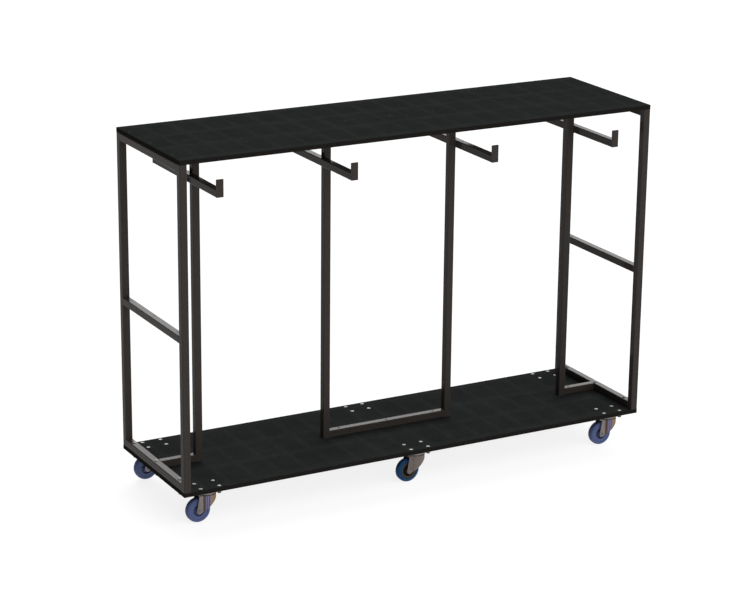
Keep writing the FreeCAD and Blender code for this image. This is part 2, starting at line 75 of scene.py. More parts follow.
class Graph:
    """A node tree being wired, with short calls for the nodes used here."""

    def __init__(self, tree: bpy.types.NodeTree) -> None:
        """Hold the tree."""
        self.tree = tree

    def add(self, kind: str, **values: object) -> Node:
        """Add a node and set its properties.

        Args:
            kind: The node's type name.
            values: The node's properties by name.

        Returns:
            The new node.
        """
        node = self.tree.nodes.new(kind)
        for name, value in values.items():
            setattr(node, name, value)
        return node

    def feed(self, socket: Socket, value: Value) -> None:
        """Link a socket into an input, or set the input's own value.

        Args:
            socket: The input.
            value: A socket to link, or a number, colour or vector to set.
        """
        if isinstance(value, bpy.types.NodeSocket):
            self.tree.links.new(value, socket)
        elif isinstance(value, tuple) and len(value) == 3 and socket.type == "RGBA":
            socket.default_value = (*value, 1.0)
        else:
            socket.default_value = value

    def fill(self, node: Node, values: dict[str, Value]) -> None:
        """Feed several of a node's inputs by name."""
        for name, value in values.items():
            self.feed(node.inputs[name], value)

    def maths(self, operation: str, a: Value, b: Value = 0.0, clamp: bool = False) -> Socket:
        """Work out one number from two.

        Args:
            operation: The operation's name.
            a: The first number.
            b: The second number.
            clamp: Whether the result is kept between 0 and 1.

        Returns:
            The result.
        """
        node = self.add("ShaderNodeMath", operation=operation, use_clamp=clamp)
        self.feed(node.inputs[0], a)
        self.feed(node.inputs[1], b)
        return node.outputs[0]

    def times(self, a: Value, b: Value, clamp: bool = False) -> Socket:
        """The product of two numbers."""
        return self.maths("MULTIPLY", a, b, clamp)

    def plus(self, a: Value, b: Value, clamp: bool = False) -> Socket:
        """The sum of two numbers."""
        return self.maths("ADD", a, b, clamp)

    def noise(self, vector: Value, scale: Value, detail: float = 2.0, roughness: float = 0.5) -> Socket:
        """Cloudy noise between 0 and 1.

        Args:
            vector: The coordinates.
            scale: How fine the clouds are.
            detail: How many finer layers they have.
            roughness: How strong the finer layers are.

        Returns:
            The noise.
        """
        node = self.add("ShaderNodeTexNoise")
        self.fill(node, {"Vector": vector, "Scale": scale, "Detail": detail, "Roughness": roughness})
        return node.outputs["Fac"]

    def span(self, value: Value, low: Value, high: Value, to_low: Value = 0.0,
             to_high: Value = 1.0) -> Socket:
        """Carry a range of values over to another range, clamped.

        Args:
            value: The number.
            low: The start of the first range.
            high: Its end.
            to_low: The start of the second range.
            to_high: Its end.

        Returns:
            The carried number.
        """
        node = self.add("ShaderNodeMapRange", clamp=True)
        self.fill(node, {"Value": value, "From Min": low, "From Max": high, "To Min": to_low,
                         "To Max": to_high})
        return node.outputs["Result"]

    def mix(self, factor: Value, a: Value, b: Value, blend: str = "MIX") -> Socket:
        """Mix two colours.

        Args:
            factor: How much of the second colour shows.
            a: The first colour.
            b: The second colour.
            blend: The blend mode's name.

        Returns:
            The mixed colour.
        """
        node = self.add("ShaderNodeMix", data_type="RGBA", blend_type=blend)
        self.feed(node.inputs[0], factor)
        self.feed(node.inputs[6], a)
        self.feed(node.inputs[7], b)
        return node.outputs[2]

    def tint(self, colour: Value, shade: Value) -> Socket:
        """Multiply a colour by a number.

        Args:
            colour: The colour.
            shade: The number.

        Returns:
            The product.
        """
        node = self.add("ShaderNodeVectorMath", operation="SCALE")
        self.feed(node.inputs[0], colour)
        self.feed(node.inputs["Scale"], shade)
        return node.outputs[0]

    def stretch(self, vector: Value, scale: Sequence[float], turn: Sequence[float] = (0, 0, 0)) -> Socket:
        """Turn and scale the coordinates of a pattern.

        Args:
            vector: The coordinates.
            scale: The scale along each axis.
            turn: The turn about each axis, in radians.

        Returns:
            The new coordinates.
        """
        node = self.add("ShaderNodeMapping")
        self.fill(node, {"Vector": vector, "Rotation": turn, "Scale": scale})
        return node.outputs["Vector"]

    def split(self, vector: Value) -> tuple[Socket, Socket, Socket]:
        """The X, Y and Z of a vector.

        Args:
            vector: The vector.

        Returns:
            Its three numbers.
        """
        node = self.add("ShaderNodeSeparateXYZ")
        self.feed(node.inputs[0], vector)
        return node.outputs[0], node.outputs[1], node.outputs[2]

    def bump(self, height: Value, strength: float, distance: float) -> Socket:
        """A normal that follows a height.

        Args:
            height: The height over the surface.
            strength: How much of it shows.
            distance: How high 1 stands.

        Returns:
            The normal.
        """
        node = self.add("ShaderNodeBump")
        self.fill(node, {"Height": height, "Strength": strength, "Distance": distance})
        return node.outputs["Normal"]

    def ramp(self, value: Value, stops: Sequence[tuple[float, Colour]]) -> Socket:
        """A colour from a ramp of stops.

        Args:
            value: The number that runs along the ramp.
            stops: (place, colour) pairs.

        Returns:
            The colour.
        """
        node = self.add("ShaderNodeValToRGB")
        self.feed(node.inputs["Fac"], value)
        elements = node.color_ramp.elements
        while len(elements) < len(stops):
            elements.new(1.0)
        for element, (place, colour) in zip(elements, stops):
            element.position = place
            element.color = (*colour, 1.0)
        return node.outputs["Color"]

    def attribute(self, name: str) -> Socket:
        """A number that the piece's mesh carries."""
        return self.add("ShaderNodeAttribute", attribute_name=name).outputs["Fac"]

    def use(self, tree: bpy.types.NodeTree, **values: Value) -> Node:
        """Place a shader group.

        Args:
            tree: The group.
            values: Its inputs by name.

        Returns:
            The group node, whose outputs go by name.
        """
        node = self.add("ShaderNodeGroup", node_tree=tree)
        self.fill(node, values)
        return node


class Effects:
    """Shader groups that several finishes share, each built once."""

    @staticmethod
    def begin(name: str, inputs: dict[str, str],
              outputs: Sequence[str]) -> tuple[Graph, dict[str, Socket], Node]:
        """Start a group.

        Args:
            name: The group's name.
            inputs: Socket types by input name.
            outputs: The names of its number outputs.

        Returns:
            The group's graph, its inputs by name, and its output node.
        """
        tree = bpy.data.node_groups.new(name, "ShaderNodeTree")
        for label, kind in inputs.items():
            tree.interface.new_socket(name=label, in_out="INPUT", socket_type=kind)
        for label in outputs:
            tree.interface.new_socket(name=label, in_out="OUTPUT", socket_type="NodeSocketFloat")
        graph = Graph(tree)
        entry = graph.add("NodeGroupInput")
        return graph, {s.name: s for s in entry.outputs if s.name}, graph.add("NodeGroupOutput")

    @classmethod
    def once(cls, name: str, make: Callable[[str], bpy.types.NodeTree]) -> bpy.types.NodeTree:
        """The group of that name, made on first use."""
        return bpy.data.node_groups.get(name) or make(name)

    @classmethod
    def grain(cls) -> bpy.types.NodeTree:
        """Uneven tone and fine relief: inputs Vector, Scale and Spread, outputs Shade and Height.

        Returns:
            The new group.
        """
        def make(name: str) -> bpy.types.NodeTree:
            """Wire the group under that name."""
            kinds = {"Vector": "NodeSocketVector", "Scale": "NodeSocketFloat", "Spread": "NodeSocketFloat"}
            g, given, out = cls.begin(name, kinds, ("Shade", "Height"))
            broad = g.noise(given["Vector"], g.times(given["Scale"], 0.12), 3.0, 0.6)
            fine = g.noise(given["Vector"], given["Scale"], 2.0, 0.55)
            both = g.plus(g.times(broad, 0.6), g.times(fine, 0.4))
            centred = g.times(g.maths("SUBTRACT", both, 0.5), given["Spread"])
            g.feed(out.inputs["Shade"], g.plus(centred, 1.0))
            g.feed(out.inputs["Height"], fine)
            return g.tree
        return cls.once("surface_grain", make)

    @classmethod
    def scratches(cls) -> bpy.types.NodeTree:
        """Hairline scratches in patches: inputs Vector, Scale and Amount, output Mask.

        Returns:
            The new group.
        """
        def make(name: str) -> bpy.types.NodeTree:
            """Wire the group under that name."""
            kinds = {"Vector": "NodeSocketVector", "Scale": "NodeSocketFloat", "Amount": "NodeSocketFloat"}
            g, given, out = cls.begin(name, kinds, ("Mask",))
            total: Value = 0.0
            for turn, squeeze in (((0.3, 0.2, 0.5), (1.0, 0.09, 1.0)), ((1.1, -0.6, 2.1), (0.08, 1.0, 0.6))):
                lines = g.noise(g.stretch(given["Vector"], squeeze, turn), given["Scale"], 3.0, 0.6)
                away = g.maths("ABSOLUTE", g.maths("SUBTRACT", lines, 0.5))
                total = g.maths("MAXIMUM", total, g.span(away, 0.0, 0.006, 1.0, 0.0))
            patches = g.noise(given["Vector"], g.times(given["Scale"], 0.15), 2.0)
            kept = g.times(total, g.span(patches, 0.5, 0.68))
            g.feed(out.inputs["Mask"], g.times(kept, given["Amount"]))
            return g.tree
        return cls.once("hairline_scratches", make)

    @classmethod
    def dust(cls) -> bpy.types.NodeTree:
        """Dust that settles on what faces up: inputs Vector, Normal and Amount, output Mask.

        Returns:
            The new group.
        """
        def make(name: str) -> bpy.types.NodeTree:
            """Wire the group under that name."""
            kinds = {"Vector": "NodeSocketVector", "Normal": "NodeSocketVector", "Amount": "NodeSocketFloat"}
            g, given, out = cls.begin(name, kinds, ("Mask",))
            up = g.span(g.split(given["Normal"])[2], 0.2, 1.0)
            clouds = g.span(g.noise(given["Vector"], 9.0, 5.0, 0.65), 0.35, 0.75)
            specks = g.span(g.noise(given["Vector"], 900.0, 1.0), 0.62, 0.72)
            both = g.plus(g.times(clouds, 0.6), g.times(specks, 0.5))
            g.feed(out.inputs["Mask"], g.times(g.times(both, up), given["Amount"], True))
            return g.tree
        return cls.once("settled_dust", make)

    @classmethod
    def worn_edges(cls) -> bpy.types.NodeTree:
        """Edges rubbed bright: inputs Vector and Amount, output Mask.

        Returns:
            The new group.
        """
        def make(name: str) -> bpy.types.NodeTree:
            """Wire the group under that name."""
            kinds = {"Vector": "NodeSocketVector", "Amount": "NodeSocketFloat"}
            g, given, out = cls.begin(name, kinds, ("Mask",))
            sharp = g.span(g.add("ShaderNodeNewGeometry").outputs["Pointiness"], 0.52, 0.6)
            uneven = g.span(g.noise(given["Vector"], 120.0, 4.0, 0.7), 0.35, 0.6)
            g.feed(out.inputs["Mask"], g.times(g.times(sharp, uneven), given["Amount"], True))
            return g.tree
        return cls.once("worn_edges", make)


# Finishes

@dataclass(frozen=True)
class Finish:
    """A surface finish, which is made into one material."""

    name: str

    def material(self) -> bpy.types.Material:
        """The finish's material, made on first use.

        Returns:
            The material.
        """
        made = bpy.data.materials.get(self.name)
        if made is None:
            made = bpy.data.materials.new(self.name)
            made.use_nodes = True
            made.node_tree.nodes.clear()
            graph = Graph(made.node_tree)
            shader = graph.add("ShaderNodeBsdfPrincipled")
            output = graph.add("ShaderNodeOutputMaterial")
            graph.feed(output.inputs["Surface"], shader.outputs["BSDF"])
            places = graph.add("ShaderNodeTexCoord")
            self.wire(graph, shader, places.outputs["Object"], places.outputs["Normal"])
        return made

    def wire(self, g: Graph, shader: Node, at: Socket, facing: Socket) -> None:
        """Join the finish's pattern to the shader. Each finish has its own."""
        raise NotImplementedError


@dataclass(frozen=True)
class FilmFacedBoard(Finish):
    """Black phenolic film, pressed with a fine wire-mesh grip in square sheets, over sealed ply edges."""

    face: Colour = (0.0142, 0.0157, 0.0153)
    seam: Colour = (0.0172, 0.0188, 0.0184)
    edge: Colour = (0.0115, 0.0103, 0.0094)
    sheet: tuple[float, float] = (113 * MM, 184 * MM)
    first_seam: tuple[float, float] = (-956 * MM, 92 * MM)
    mesh_pitch: float = 6.5 * MM
    mesh_tones: tuple[float, float] = (0.74, 1.75)
    seam_sharpness: float = 9.0
    wire_sharpness: float = 5.0
    ply: float = 1.4 * MM

    def wire(self, g: Graph, shader: Node, at: Socket, facing: Socket) -> None:
        """Mesh imprint, seams and dust on the faces; plies on the edges.

        Args:
            g: The material's graph.
            shader: The shader node to feed.
            at: The coordinates on the piece.
            facing: The direction that the surface faces.
        """
        x, y, z = g.split(at)
        on_face = g.span(g.maths("ABSOLUTE", g.split(facing)[2]), 0.4, 0.6)
        seams = [g.maths("POWER", g.span(self.wave(g, place, pitch, start), -1.0, 1.0), self.seam_sharpness)
                 for place, pitch, start in zip((x, y), self.sheet, self.first_seam)]
        seam = g.plus(seams[0], seams[1], True)
        mesh = g.maths("MAXIMUM", self.strand(g, g.plus(x, y)), self.strand(g, g.maths("SUBTRACT", x, y)))
        grain = g.use(Effects.grain(), Vector=at, Scale=260.0, Spread=0.5)
        scratch = g.use(Effects.scratches(), Vector=at, Scale=14.0, Amount=0.55)
        dust = g.use(Effects.dust(), Vector=at, Normal=facing, Amount=0.05)
        lift = g.times(grain.outputs["Shade"], g.span(mesh, 0.0, 1.0, *self.mesh_tones))
        tone = g.tint(g.mix(seam, self.face, self.seam), lift)
        tone = g.mix(scratch.outputs["Mask"], tone, (0.03, 0.031, 0.03))
        tone = g.mix(dust.outputs["Mask"], tone, (0.16, 0.155, 0.145))
        layers = g.span(self.wave(g, z, self.ply * 2, 0.0), -0.5, 0.5, 0.75, 1.3)
        fibres = g.noise(g.stretch(at, (60.0, 60.0, 900.0)), 1.0, 4.0, 0.6)
        side = g.tint(self.edge, g.times(layers, g.span(fibres, 0.3, 0.7, 0.7, 1.35)))
        g.feed(shader.inputs["Base Color"], g.mix(on_face, side, tone))
        rough = g.span(grain.outputs["Shade"], 0.8, 1.2, 0.52, 0.66)
        g.feed(shader.inputs["Roughness"], g.plus(rough, g.times(dust.outputs["Mask"], 0.3)))
        relief = g.plus(mesh, g.times(grain.outputs["Height"], 0.35))
        height = g.times(relief, on_face)
        height = g.plus(height, g.times(g.times(layers, 0.5), g.maths("SUBTRACT", 1.0, on_face)))
        g.fill(shader, {"Normal": g.bump(height, 0.35, 0.25 * MM), "Specular IOR Level": 0.0})

    @staticmethod
    def wave(g: Graph, place: Value, pitch: float, start: float) -> Socket:
        """A cosine along one direction, at its top on the start."""
        turns = g.maths("DIVIDE", g.maths("SUBTRACT", place, start), pitch / FULL_TURN)
        return g.maths("COSINE", turns)

    def strand(self, g: Graph, along: Value) -> Socket:
        """The wires' ridges across one diagonal."""
        ridges = self.wave(g, along, self.mesh_pitch * math.sqrt(2), 0.0)
        return g.maths("POWER", g.span(ridges, -1.0, 1.0), self.wire_sharpness)


@dataclass(frozen=True)
class PowderCoat(Finish):
    """Satin powder coat with orange peel, hairline scratches and a little dust."""

    colour: Colour = (0.0385, 0.0328, 0.0300)
    roughness: float = 0.08
    shine: float = 0.03
    peel: float = 420.0
    peel_depth: float = 0.015
    scuff: Colour = (0.05, 0.047, 0.043)
    scuffs: float = 0.5
    dustiness: float = 0.04

    def wire(self, g: Graph, shader: Node, at: Socket, facing: Socket) -> None:
        """Tone, wear and peel.

        Args:
            g: The material's graph.
            shader: The shader node to feed.
            at: The coordinates on the piece.
            facing: The direction that the surface faces.
        """
        grain = g.use(Effects.grain(), Vector=at, Scale=self.peel, Spread=0.45)
        scratch = g.use(Effects.scratches(), Vector=at, Scale=22.0, Amount=self.scuffs)
        dust = g.use(Effects.dust(), Vector=at, Normal=facing, Amount=self.dustiness)
        tone = g.tint(self.colour, grain.outputs["Shade"])
        marks = scratch.outputs["Mask"]
        tone = g.mix(marks, tone, self.scuff)
        g.feed(shader.inputs["Base Color"], g.mix(dust.outputs["Mask"], tone, (0.2, 0.19, 0.175)))
        rough = g.span(grain.outputs["Shade"], 0.85, 1.15, self.roughness - 0.02, self.roughness + 0.03)
        rough = g.plus(rough, g.times(marks, 0.25))
        g.feed(shader.inputs["Roughness"], g.plus(rough, g.times(dust.outputs["Mask"], 0.5)))
        relief = g.bump(grain.outputs["Height"], self.peel_depth, 0.2 * MM)
        g.fill(shader, {"Normal": relief, "Specular IOR Level": self.shine})


@dataclass(frozen=True)
class PlatedSteel(Finish):
    """Zinc plate on pressed or turned steel: drawn lines, cloudy tone, rubbed edges and painted shade on bolt tips
    under the deck.
    """

    colour: Colour = (0.19, 0.2, 0.19)
    dull: Colour = (0.15, 0.157, 0.15)
    roughness: float = 0.3
    lines: tuple[float, float, float] = (1.0, 1.0, 1.0)
    edge_wear: float = 0.5
    grazing: float = 1.0

    def wire(self, g: Graph, shader: Node, at: Socket, facing: Socket) -> None:
        """Cloudy plate with fine lines and bright edges.

        Args:
            g: The material's graph.
            shader: The shader node to feed.
            at: The coordinates on the piece.
            facing: The direction that the surface faces.
        """
        tone, rough, height = self.plate(g, at, facing)
        grazing = (self.grazing, self.grazing, self.grazing)
        g.fill(shader, {"Base Color": tone, "Roughness": rough, "Normal": g.bump(height, 0.1, 0.1 * MM),
                        "Metallic": 1.0, "Specular Tint": grazing})

    def plate(self, g: Graph, at: Socket, facing: Socket) -> tuple[Socket, Socket, Socket]:
        """The plate's colour, roughness and height.

        Args:
            g: The material's graph.
            at: The coordinates on the piece.
            facing: The direction that the surface faces.

        Returns:
            The three sockets.
        """
        clouds = g.noise(at, 70.0, 5.0, 0.65)
        drawn = g.noise(g.stretch(at, self.lines), 1400.0, 2.0)
        scratch = g.use(Effects.scratches(), Vector=at, Scale=60.0, Amount=0.5)
        worn = g.use(Effects.worn_edges(), Vector=at, Amount=self.edge_wear)
        dust = g.use(Effects.dust(), Vector=at, Normal=facing, Amount=0.08)
        tone = g.mix(g.span(clouds, 0.3, 0.7), self.dull, self.colour)
        tone = g.tint(tone, g.span(drawn, 0.3, 0.7, 0.9, 1.1))
        bright = g.maths("MAXIMUM", worn.outputs["Mask"], scratch.outputs["Mask"])
        tone = g.mix(bright, tone, (0.66, 0.65, 0.63))
        tone = g.mix(dust.outputs["Mask"], tone, (0.2, 0.19, 0.18))
        # painted shade: where a mesh marks it, the plate is darkened to stand in for the shade under the deck
        tone = g.mix(g.attribute("painted_shade_under_deck"), tone, (0.05, 0.049, 0.046))
        rough = g.span(clouds, 0.3, 0.7, self.roughness + 0.1, self.roughness - 0.05)
        rough = g.plus(rough, g.times(dust.outputs["Mask"], 0.4))
        return tone, rough, g.plus(drawn, g.times(scratch.outputs["Mask"], -0.6))


@dataclass(frozen=True)
class ReflectionBandedFork(PlatedSteel):
    """Zinc plate with painted reflections: coloured upright stripes round the bend stand in for the surroundings
    mirrored in the curved legs.
    """

    colour: Colour = (0.19, 0.165, 0.155)
    dull: Colour = (0.16, 0.137, 0.126)
    lines: tuple[float, float, float] = (1.0, 1.0, 0.05)
    band_cover: float = 0.88

    def wire(self, g: Graph, shader: Node, at: Socket, facing: Socket) -> None:
        """The plate with the painted reflection stripes laid over it.

        Args:
            g: The material's graph.
            shader: The shader node to feed.
            at: The coordinates on the piece.
            facing: The direction that the surface faces.
        """
        tone, rough, height = self.plate(g, at, facing)
        wander = g.noise(g.stretch(at, (1.0, 1.0, 0.12)), 90.0, 3.0)
        place = g.plus(g.attribute("sweep"), g.span(wander, 0.3, 0.7, -0.006, 0.006))
        # painted reflection: these colours and the ramp below stand in for the surroundings mirrored round the fork's
        # bend
        grey, brown, dark = (0.18, 0.16, 0.155), (0.105, 0.066, 0.046), (0.05, 0.036, 0.03)
        gold = (0.26, 0.135, 0.04)
        lilac, pale_lilac, red = (0.135, 0.14, 0.29), (0.16, 0.185, 0.38), (0.13, 0.062, 0.046)
        bronze = (0.078, 0.047, 0.035)
        bands_at = ((0.0, brown), (0.10, lilac), (0.16, dark), (0.27, dark), (0.285, gold), (0.41, gold),
                    (0.425, grey), (0.52, grey), (0.53, brown), (0.562, brown), (0.567, pale_lilac),
                    (0.592, pale_lilac), (0.598, red), (0.633, red), (0.639, lilac), (0.668, lilac),
                    (0.675, bronze), (0.755, bronze), (0.768, grey))
        bands = g.tint(g.ramp(place, bands_at), g.span(wander, 0.3, 0.7, 0.85, 1.15))
        g.fill(shader, {"Base Color": g.mix(self.band_cover, tone, bands), "Roughness": rough,
                        "Normal": g.bump(height, 0.12, 0.1 * MM), "Metallic": 1.0})


@dataclass(frozen=True)
class Moulding(Finish):
    """Moulded rubber or nylon, with painted shade in the recess and the seat groove, and darker on the tread."""

    colour: Colour = (0.062, 0.083, 0.185)
    deep: Colour = (0.065, 0.085, 0.175)
    # deep is the painted shade colour for the recess and the groove at the tyre's seat
    tread: Colour = (0.052, 0.068, 0.145)
    roughness: float = 0.45
    shine: float = 0.15

    def wire(self, g: Graph, shader: Node, at: Socket, facing: Socket) -> None:
        """Tone with painted shade in the recess, darker on the tread, and a moulded grain.

        Args:
            g: The material's graph.
            shader: The shader node to feed.
            at: The coordinates on the piece.
            facing: The direction that the surface faces.
        """
        grain = g.use(Effects.grain(), Vector=at, Scale=700.0, Spread=0.35)
        scratch = g.use(Effects.scratches(), Vector=at, Scale=90.0, Amount=0.35)
        # the tread is made darker and rougher in patches
        darker_tread = g.times(g.attribute("tread"), g.span(g.noise(at, 160.0, 4.0, 0.7), 0.3, 0.7, 0.5, 1.0))
        tone = g.mix(darker_tread, self.colour, self.tread)
        # painted shade: the depth attribute darkens the recess and the seat groove
        tone = g.mix(g.attribute("depth"), tone, self.deep)
        tone = g.tint(tone, grain.outputs["Shade"])
        tone = g.mix(scratch.outputs["Mask"], tone, g.tint(tone, 1.6))
        rough = g.span(grain.outputs["Shade"], 0.85, 1.15, self.roughness - 0.05, self.roughness + 0.08)
        g.fill(shader, {"Base Color": tone, "Roughness": g.plus(g.times(darker_tread, 0.2), rough),
                        "Normal": g.bump(grain.outputs["Height"], 0.15, 0.12 * MM),
                        "Specular IOR Level": self.shine})


@dataclass(frozen=True)
class PalePaper(Finish):
    """The plain pale floor."""

    colour: Colour = (0.24, 0.24, 0.24)
    glow: float = 0.84

    def wire(self, g: Graph, shader: Node, at: Socket, facing: Socket) -> None:
        """One even tone with an even glow."""
        g.fill(shader, {"Base Color": self.colour, "Emission Color": WHITE, "Emission Strength": self.glow,
                        "Roughness": 0.9, "Specular IOR Level": 0.0})


BOARD_FILM = FilmFacedBoard("black_mesh_film")
FRAME_PAINT = PowderCoat("bronze_black_powder_coat")
WELD_PAINT = PowderCoat("powder_coat_over_weld", peel=900.0, peel_depth=0.3)
# painted highlight: the pale grey stands in for the bright reflections on bolt heads coated black like the rails
BOLT_COAT_PAINTED_HIGHLIGHT = PowderCoat("bolt_coat_painted_highlight", colour=(0.3, 0.31, 0.295), scuffs=0.8, shine=0.3)
SCREW_BLACK = PowderCoat("black_phosphate", colour=(0.004, 0.004, 0.004), roughness=0.6, peel=1500.0,
                         shine=0.03, dustiness=0.0)
BRIGHT_ZINC = PlatedSteel("clear_zinc_plate", roughness=0.35, edge_wear=0.0, grazing=0.6)
# painted shade: the castor nuts are bright zinc, made dark here for the shade under the deck
NUT_ZINC_PAINTED_SHADE = PlatedSteel("nut_zinc_painted_shade", colour=(0.06, 0.06, 0.056), dull=(0.04, 0.04, 0.038), roughness=0.45,
                        edge_wear=0.0)
PLAIN_STEEL = PlatedSteel("turned_steel", colour=(0.18, 0.178, 0.168), dull=(0.14, 0.136, 0.127),
                          roughness=0.4, edge_wear=0.0, grazing=0.7)
CASTOR_PLATE_ZINC = PlatedSteel("castor_plate_zinc", colour=(0.21, 0.19, 0.18), dull=(0.17, 0.152, 0.143),
                                roughness=0.42)
PLAIN_FORK_ZINC = PlatedSteel("plain_fork_zinc", colour=(0.155, 0.128, 0.118), dull=(0.125, 0.1, 0.092),
                              roughness=0.42, lines=(1.0, 1.0, 0.05), edge_wear=0.35)
FORK_ZINC_PAINTED_REFLECTIONS = ReflectionBandedFork("fork_zinc_painted_reflections", edge_wear=0.35)
LIGHT_BLUE = Moulding("periwinkle_rubber")
LIGHT_BLUE_RIM = Moulding("periwinkle_nylon", colour=(0.069, 0.091, 0.193), roughness=0.38)
# deep= gives the painted shade colour of the recess and the seat groove, near black on the dark rim
DARK_BLUE = Moulding("dark_blue_rubber", colour=(0.0095, 0.046, 0.125), tread=(0.005, 0.02, 0.055),
                     deep=(0.003, 0.008, 0.03), roughness=0.2, shine=0.04)
DARK_RIM = Moulding("grey_brown_nylon", colour=(0.032, 0.028, 0.022), deep=(0.002, 0.002, 0.002),
                    roughness=0.5)
FLOOR = PalePaper("pale_floor")


# Mesh building

def arc(centre: tuple[float, float], radius: float, start: float, end: float, steps: int) -> Profile:
    """Points on a round stretch of an outline.

    Args:
        centre: The arc's centre.
        radius: Its radius.
        start: The first point's angle in degrees.
        end: The last point's angle in degrees.
        steps: How many stretches the arc has.

    Returns:
        steps + 1 points.
    """
    angles = [math.radians(start + (end - start) * k / steps) for k in range(steps + 1)]
    return [(centre[0] + radius * math.cos(a), centre[1] + radius * math.sin(a)) for a in angles]


def lathe(bm: BMesh, profile: Profile, centre: Vector, axis: Vector, segments: int,
          closed: bool = False) -> list[bmesh.types.BMVert]:
    """Turn an outline about an axis.

    Args:
        bm: The mesh that gets the turned shape.
        profile: (radius, distance along the axis) pairs in metres.
        centre: The point on the axis that distances count from.
        axis: The axis.
        segments: How many steps the full turn takes.
        closed: Whether the outline's last point joins its first.

    Returns:
        The vertices of the shape.
    """
    before = set(bm.verts)
    out = axis.orthogonal().normalized()
    points = [bm.verts.new(centre + out * radius + axis * along) for radius, along in profile]
    pairs = list(zip(points, points[1:]))
    if closed:
        pairs.append((points[-1], points[0]))
    edges = [bm.edges.new(pair) for pair in pairs]
    bmesh.ops.spin(bm, geom=points + edges, cent=centre, axis=axis, dvec=(0, 0, 0), angle=FULL_TURN,
                   steps=segments, use_merge=True, use_duplicate=False)
    made = [v for v in bm.verts if v not in before]
    bmesh.ops.remove_doubles(bm, verts=made, dist=1e-6)
    return [v for v in bm.verts if v not in before]


def bevelled(bm: BMesh, geom: Sequence, offset: float, segments: int, affect: str = "EDGES") -> None:
    """Round edges or corners off."""
    bmesh.ops.bevel(bm, geom=geom, offset=offset, offset_type="OFFSET", affect=affect, segments=segments,
                    profile=0.5, material=-1)


def drawn_out(bm: BMesh, faces: Sequence, rise: float) -> None:
    """Draw faces out upwards into a block whose faces point outwards.

    Args:
        bm: The mesh.
        faces: The faces.
        rise: How far up they are drawn.
    """
    grown = bmesh.ops.extrude_face_region(bm, geom=list(faces))
    lifted = [v for v in grown["geom"] if isinstance(v, bmesh.types.BMVert)]
    bmesh.ops.translate(bm, vec=(0, 0, rise), verts=lifted)


def to_mesh(bm: BMesh, name: str, sharp: float = 35.0) -> Mesh:
    """Close a bmesh into a mesh with outward faces, smooth but for its sharp edges.

    Args:
        bm: The bmesh, which is freed.
        name: The mesh's name.
        sharp: The angle in degrees from which an edge is sharp.

    Returns:
        The mesh.
    """
    bmesh.ops.recalc_face_normals(bm, faces=bm.faces)
    for face in bm.faces:
        face.smooth = True
    mesh = bpy.data.meshes.new(name)
    bm.to_mesh(mesh)
    bm.free()
    mesh.set_sharp_from_angle(angle=math.radians(sharp))
    return mesh


def repeat(unit: Mesh, name: str, places: Iterable[Vector]) -> Mesh:
    """One mesh that holds a copy of the unit at each place.

    Args:
        unit: The mesh to copy, which is removed.
        name: The new mesh's name.
        places: Where the copies stand.

    Returns:
        The new mesh.
    """
    bm = bmesh.new()
    for place in places:
        before = set(bm.verts)
        bm.from_mesh(unit)
        bmesh.ops.translate(bm, vec=place, verts=[v for v in bm.verts if v not in before])
    mesh = bpy.data.meshes.new(name)
    bm.to_mesh(mesh)
    bm.free()
    bpy.data.meshes.remove(unit)
    return mesh


def place_piece(mesh: Mesh, finish: Finish, body: str,
                nodes: Sequence[str] = ()) -> bpy.types.Object:
    """Put a finished mesh in the scene as a piece.

    Args:
        mesh: The piece's mesh, in the cart's own frame.
        finish: Its finish.
        body: The body that it rides on.
        nodes: The nodes that it stands for.

    Returns:
        The piece.
    """
    piece = bpy.data.objects.new(mesh.name, mesh)
    bpy.context.scene.collection.objects.link(piece)
    mesh.materials.clear()
    mesh.materials.append(finish.material())
    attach(piece, body)
    if nodes:
        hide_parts(*nodes)
    log.info("%s: %d faces on %s", piece.name, len(mesh.polygons), body)
    return piece


def paint_node(node: str, finish: Finish) -> None:
    """Give a carried-over node its finish.

    Args:
        node: The node's name.
        finish: The finish.
    """
    slots = frame["nodes"][node].material_slots
    for slot in slots:
        slot.material = finish.material()
    log.info("%s: dressed in %s", node, finish.name)


def middle(node: str) -> Vector:
    """The middle of a node's box."""
    low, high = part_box(node)
    return (low + high) / 2


def joint_place(name: str) -> Vector:
    """A joint's place at rest."""
    found = [joint for joint in frame["joints"] if joint["name"] == name]
    return Vector(found[0]["pos_m"])


# Castors

class Tread(Enum):
    """How a tyre's shoulders are made."""

    ROUND = "round"
    BEVELLED = "bevelled"


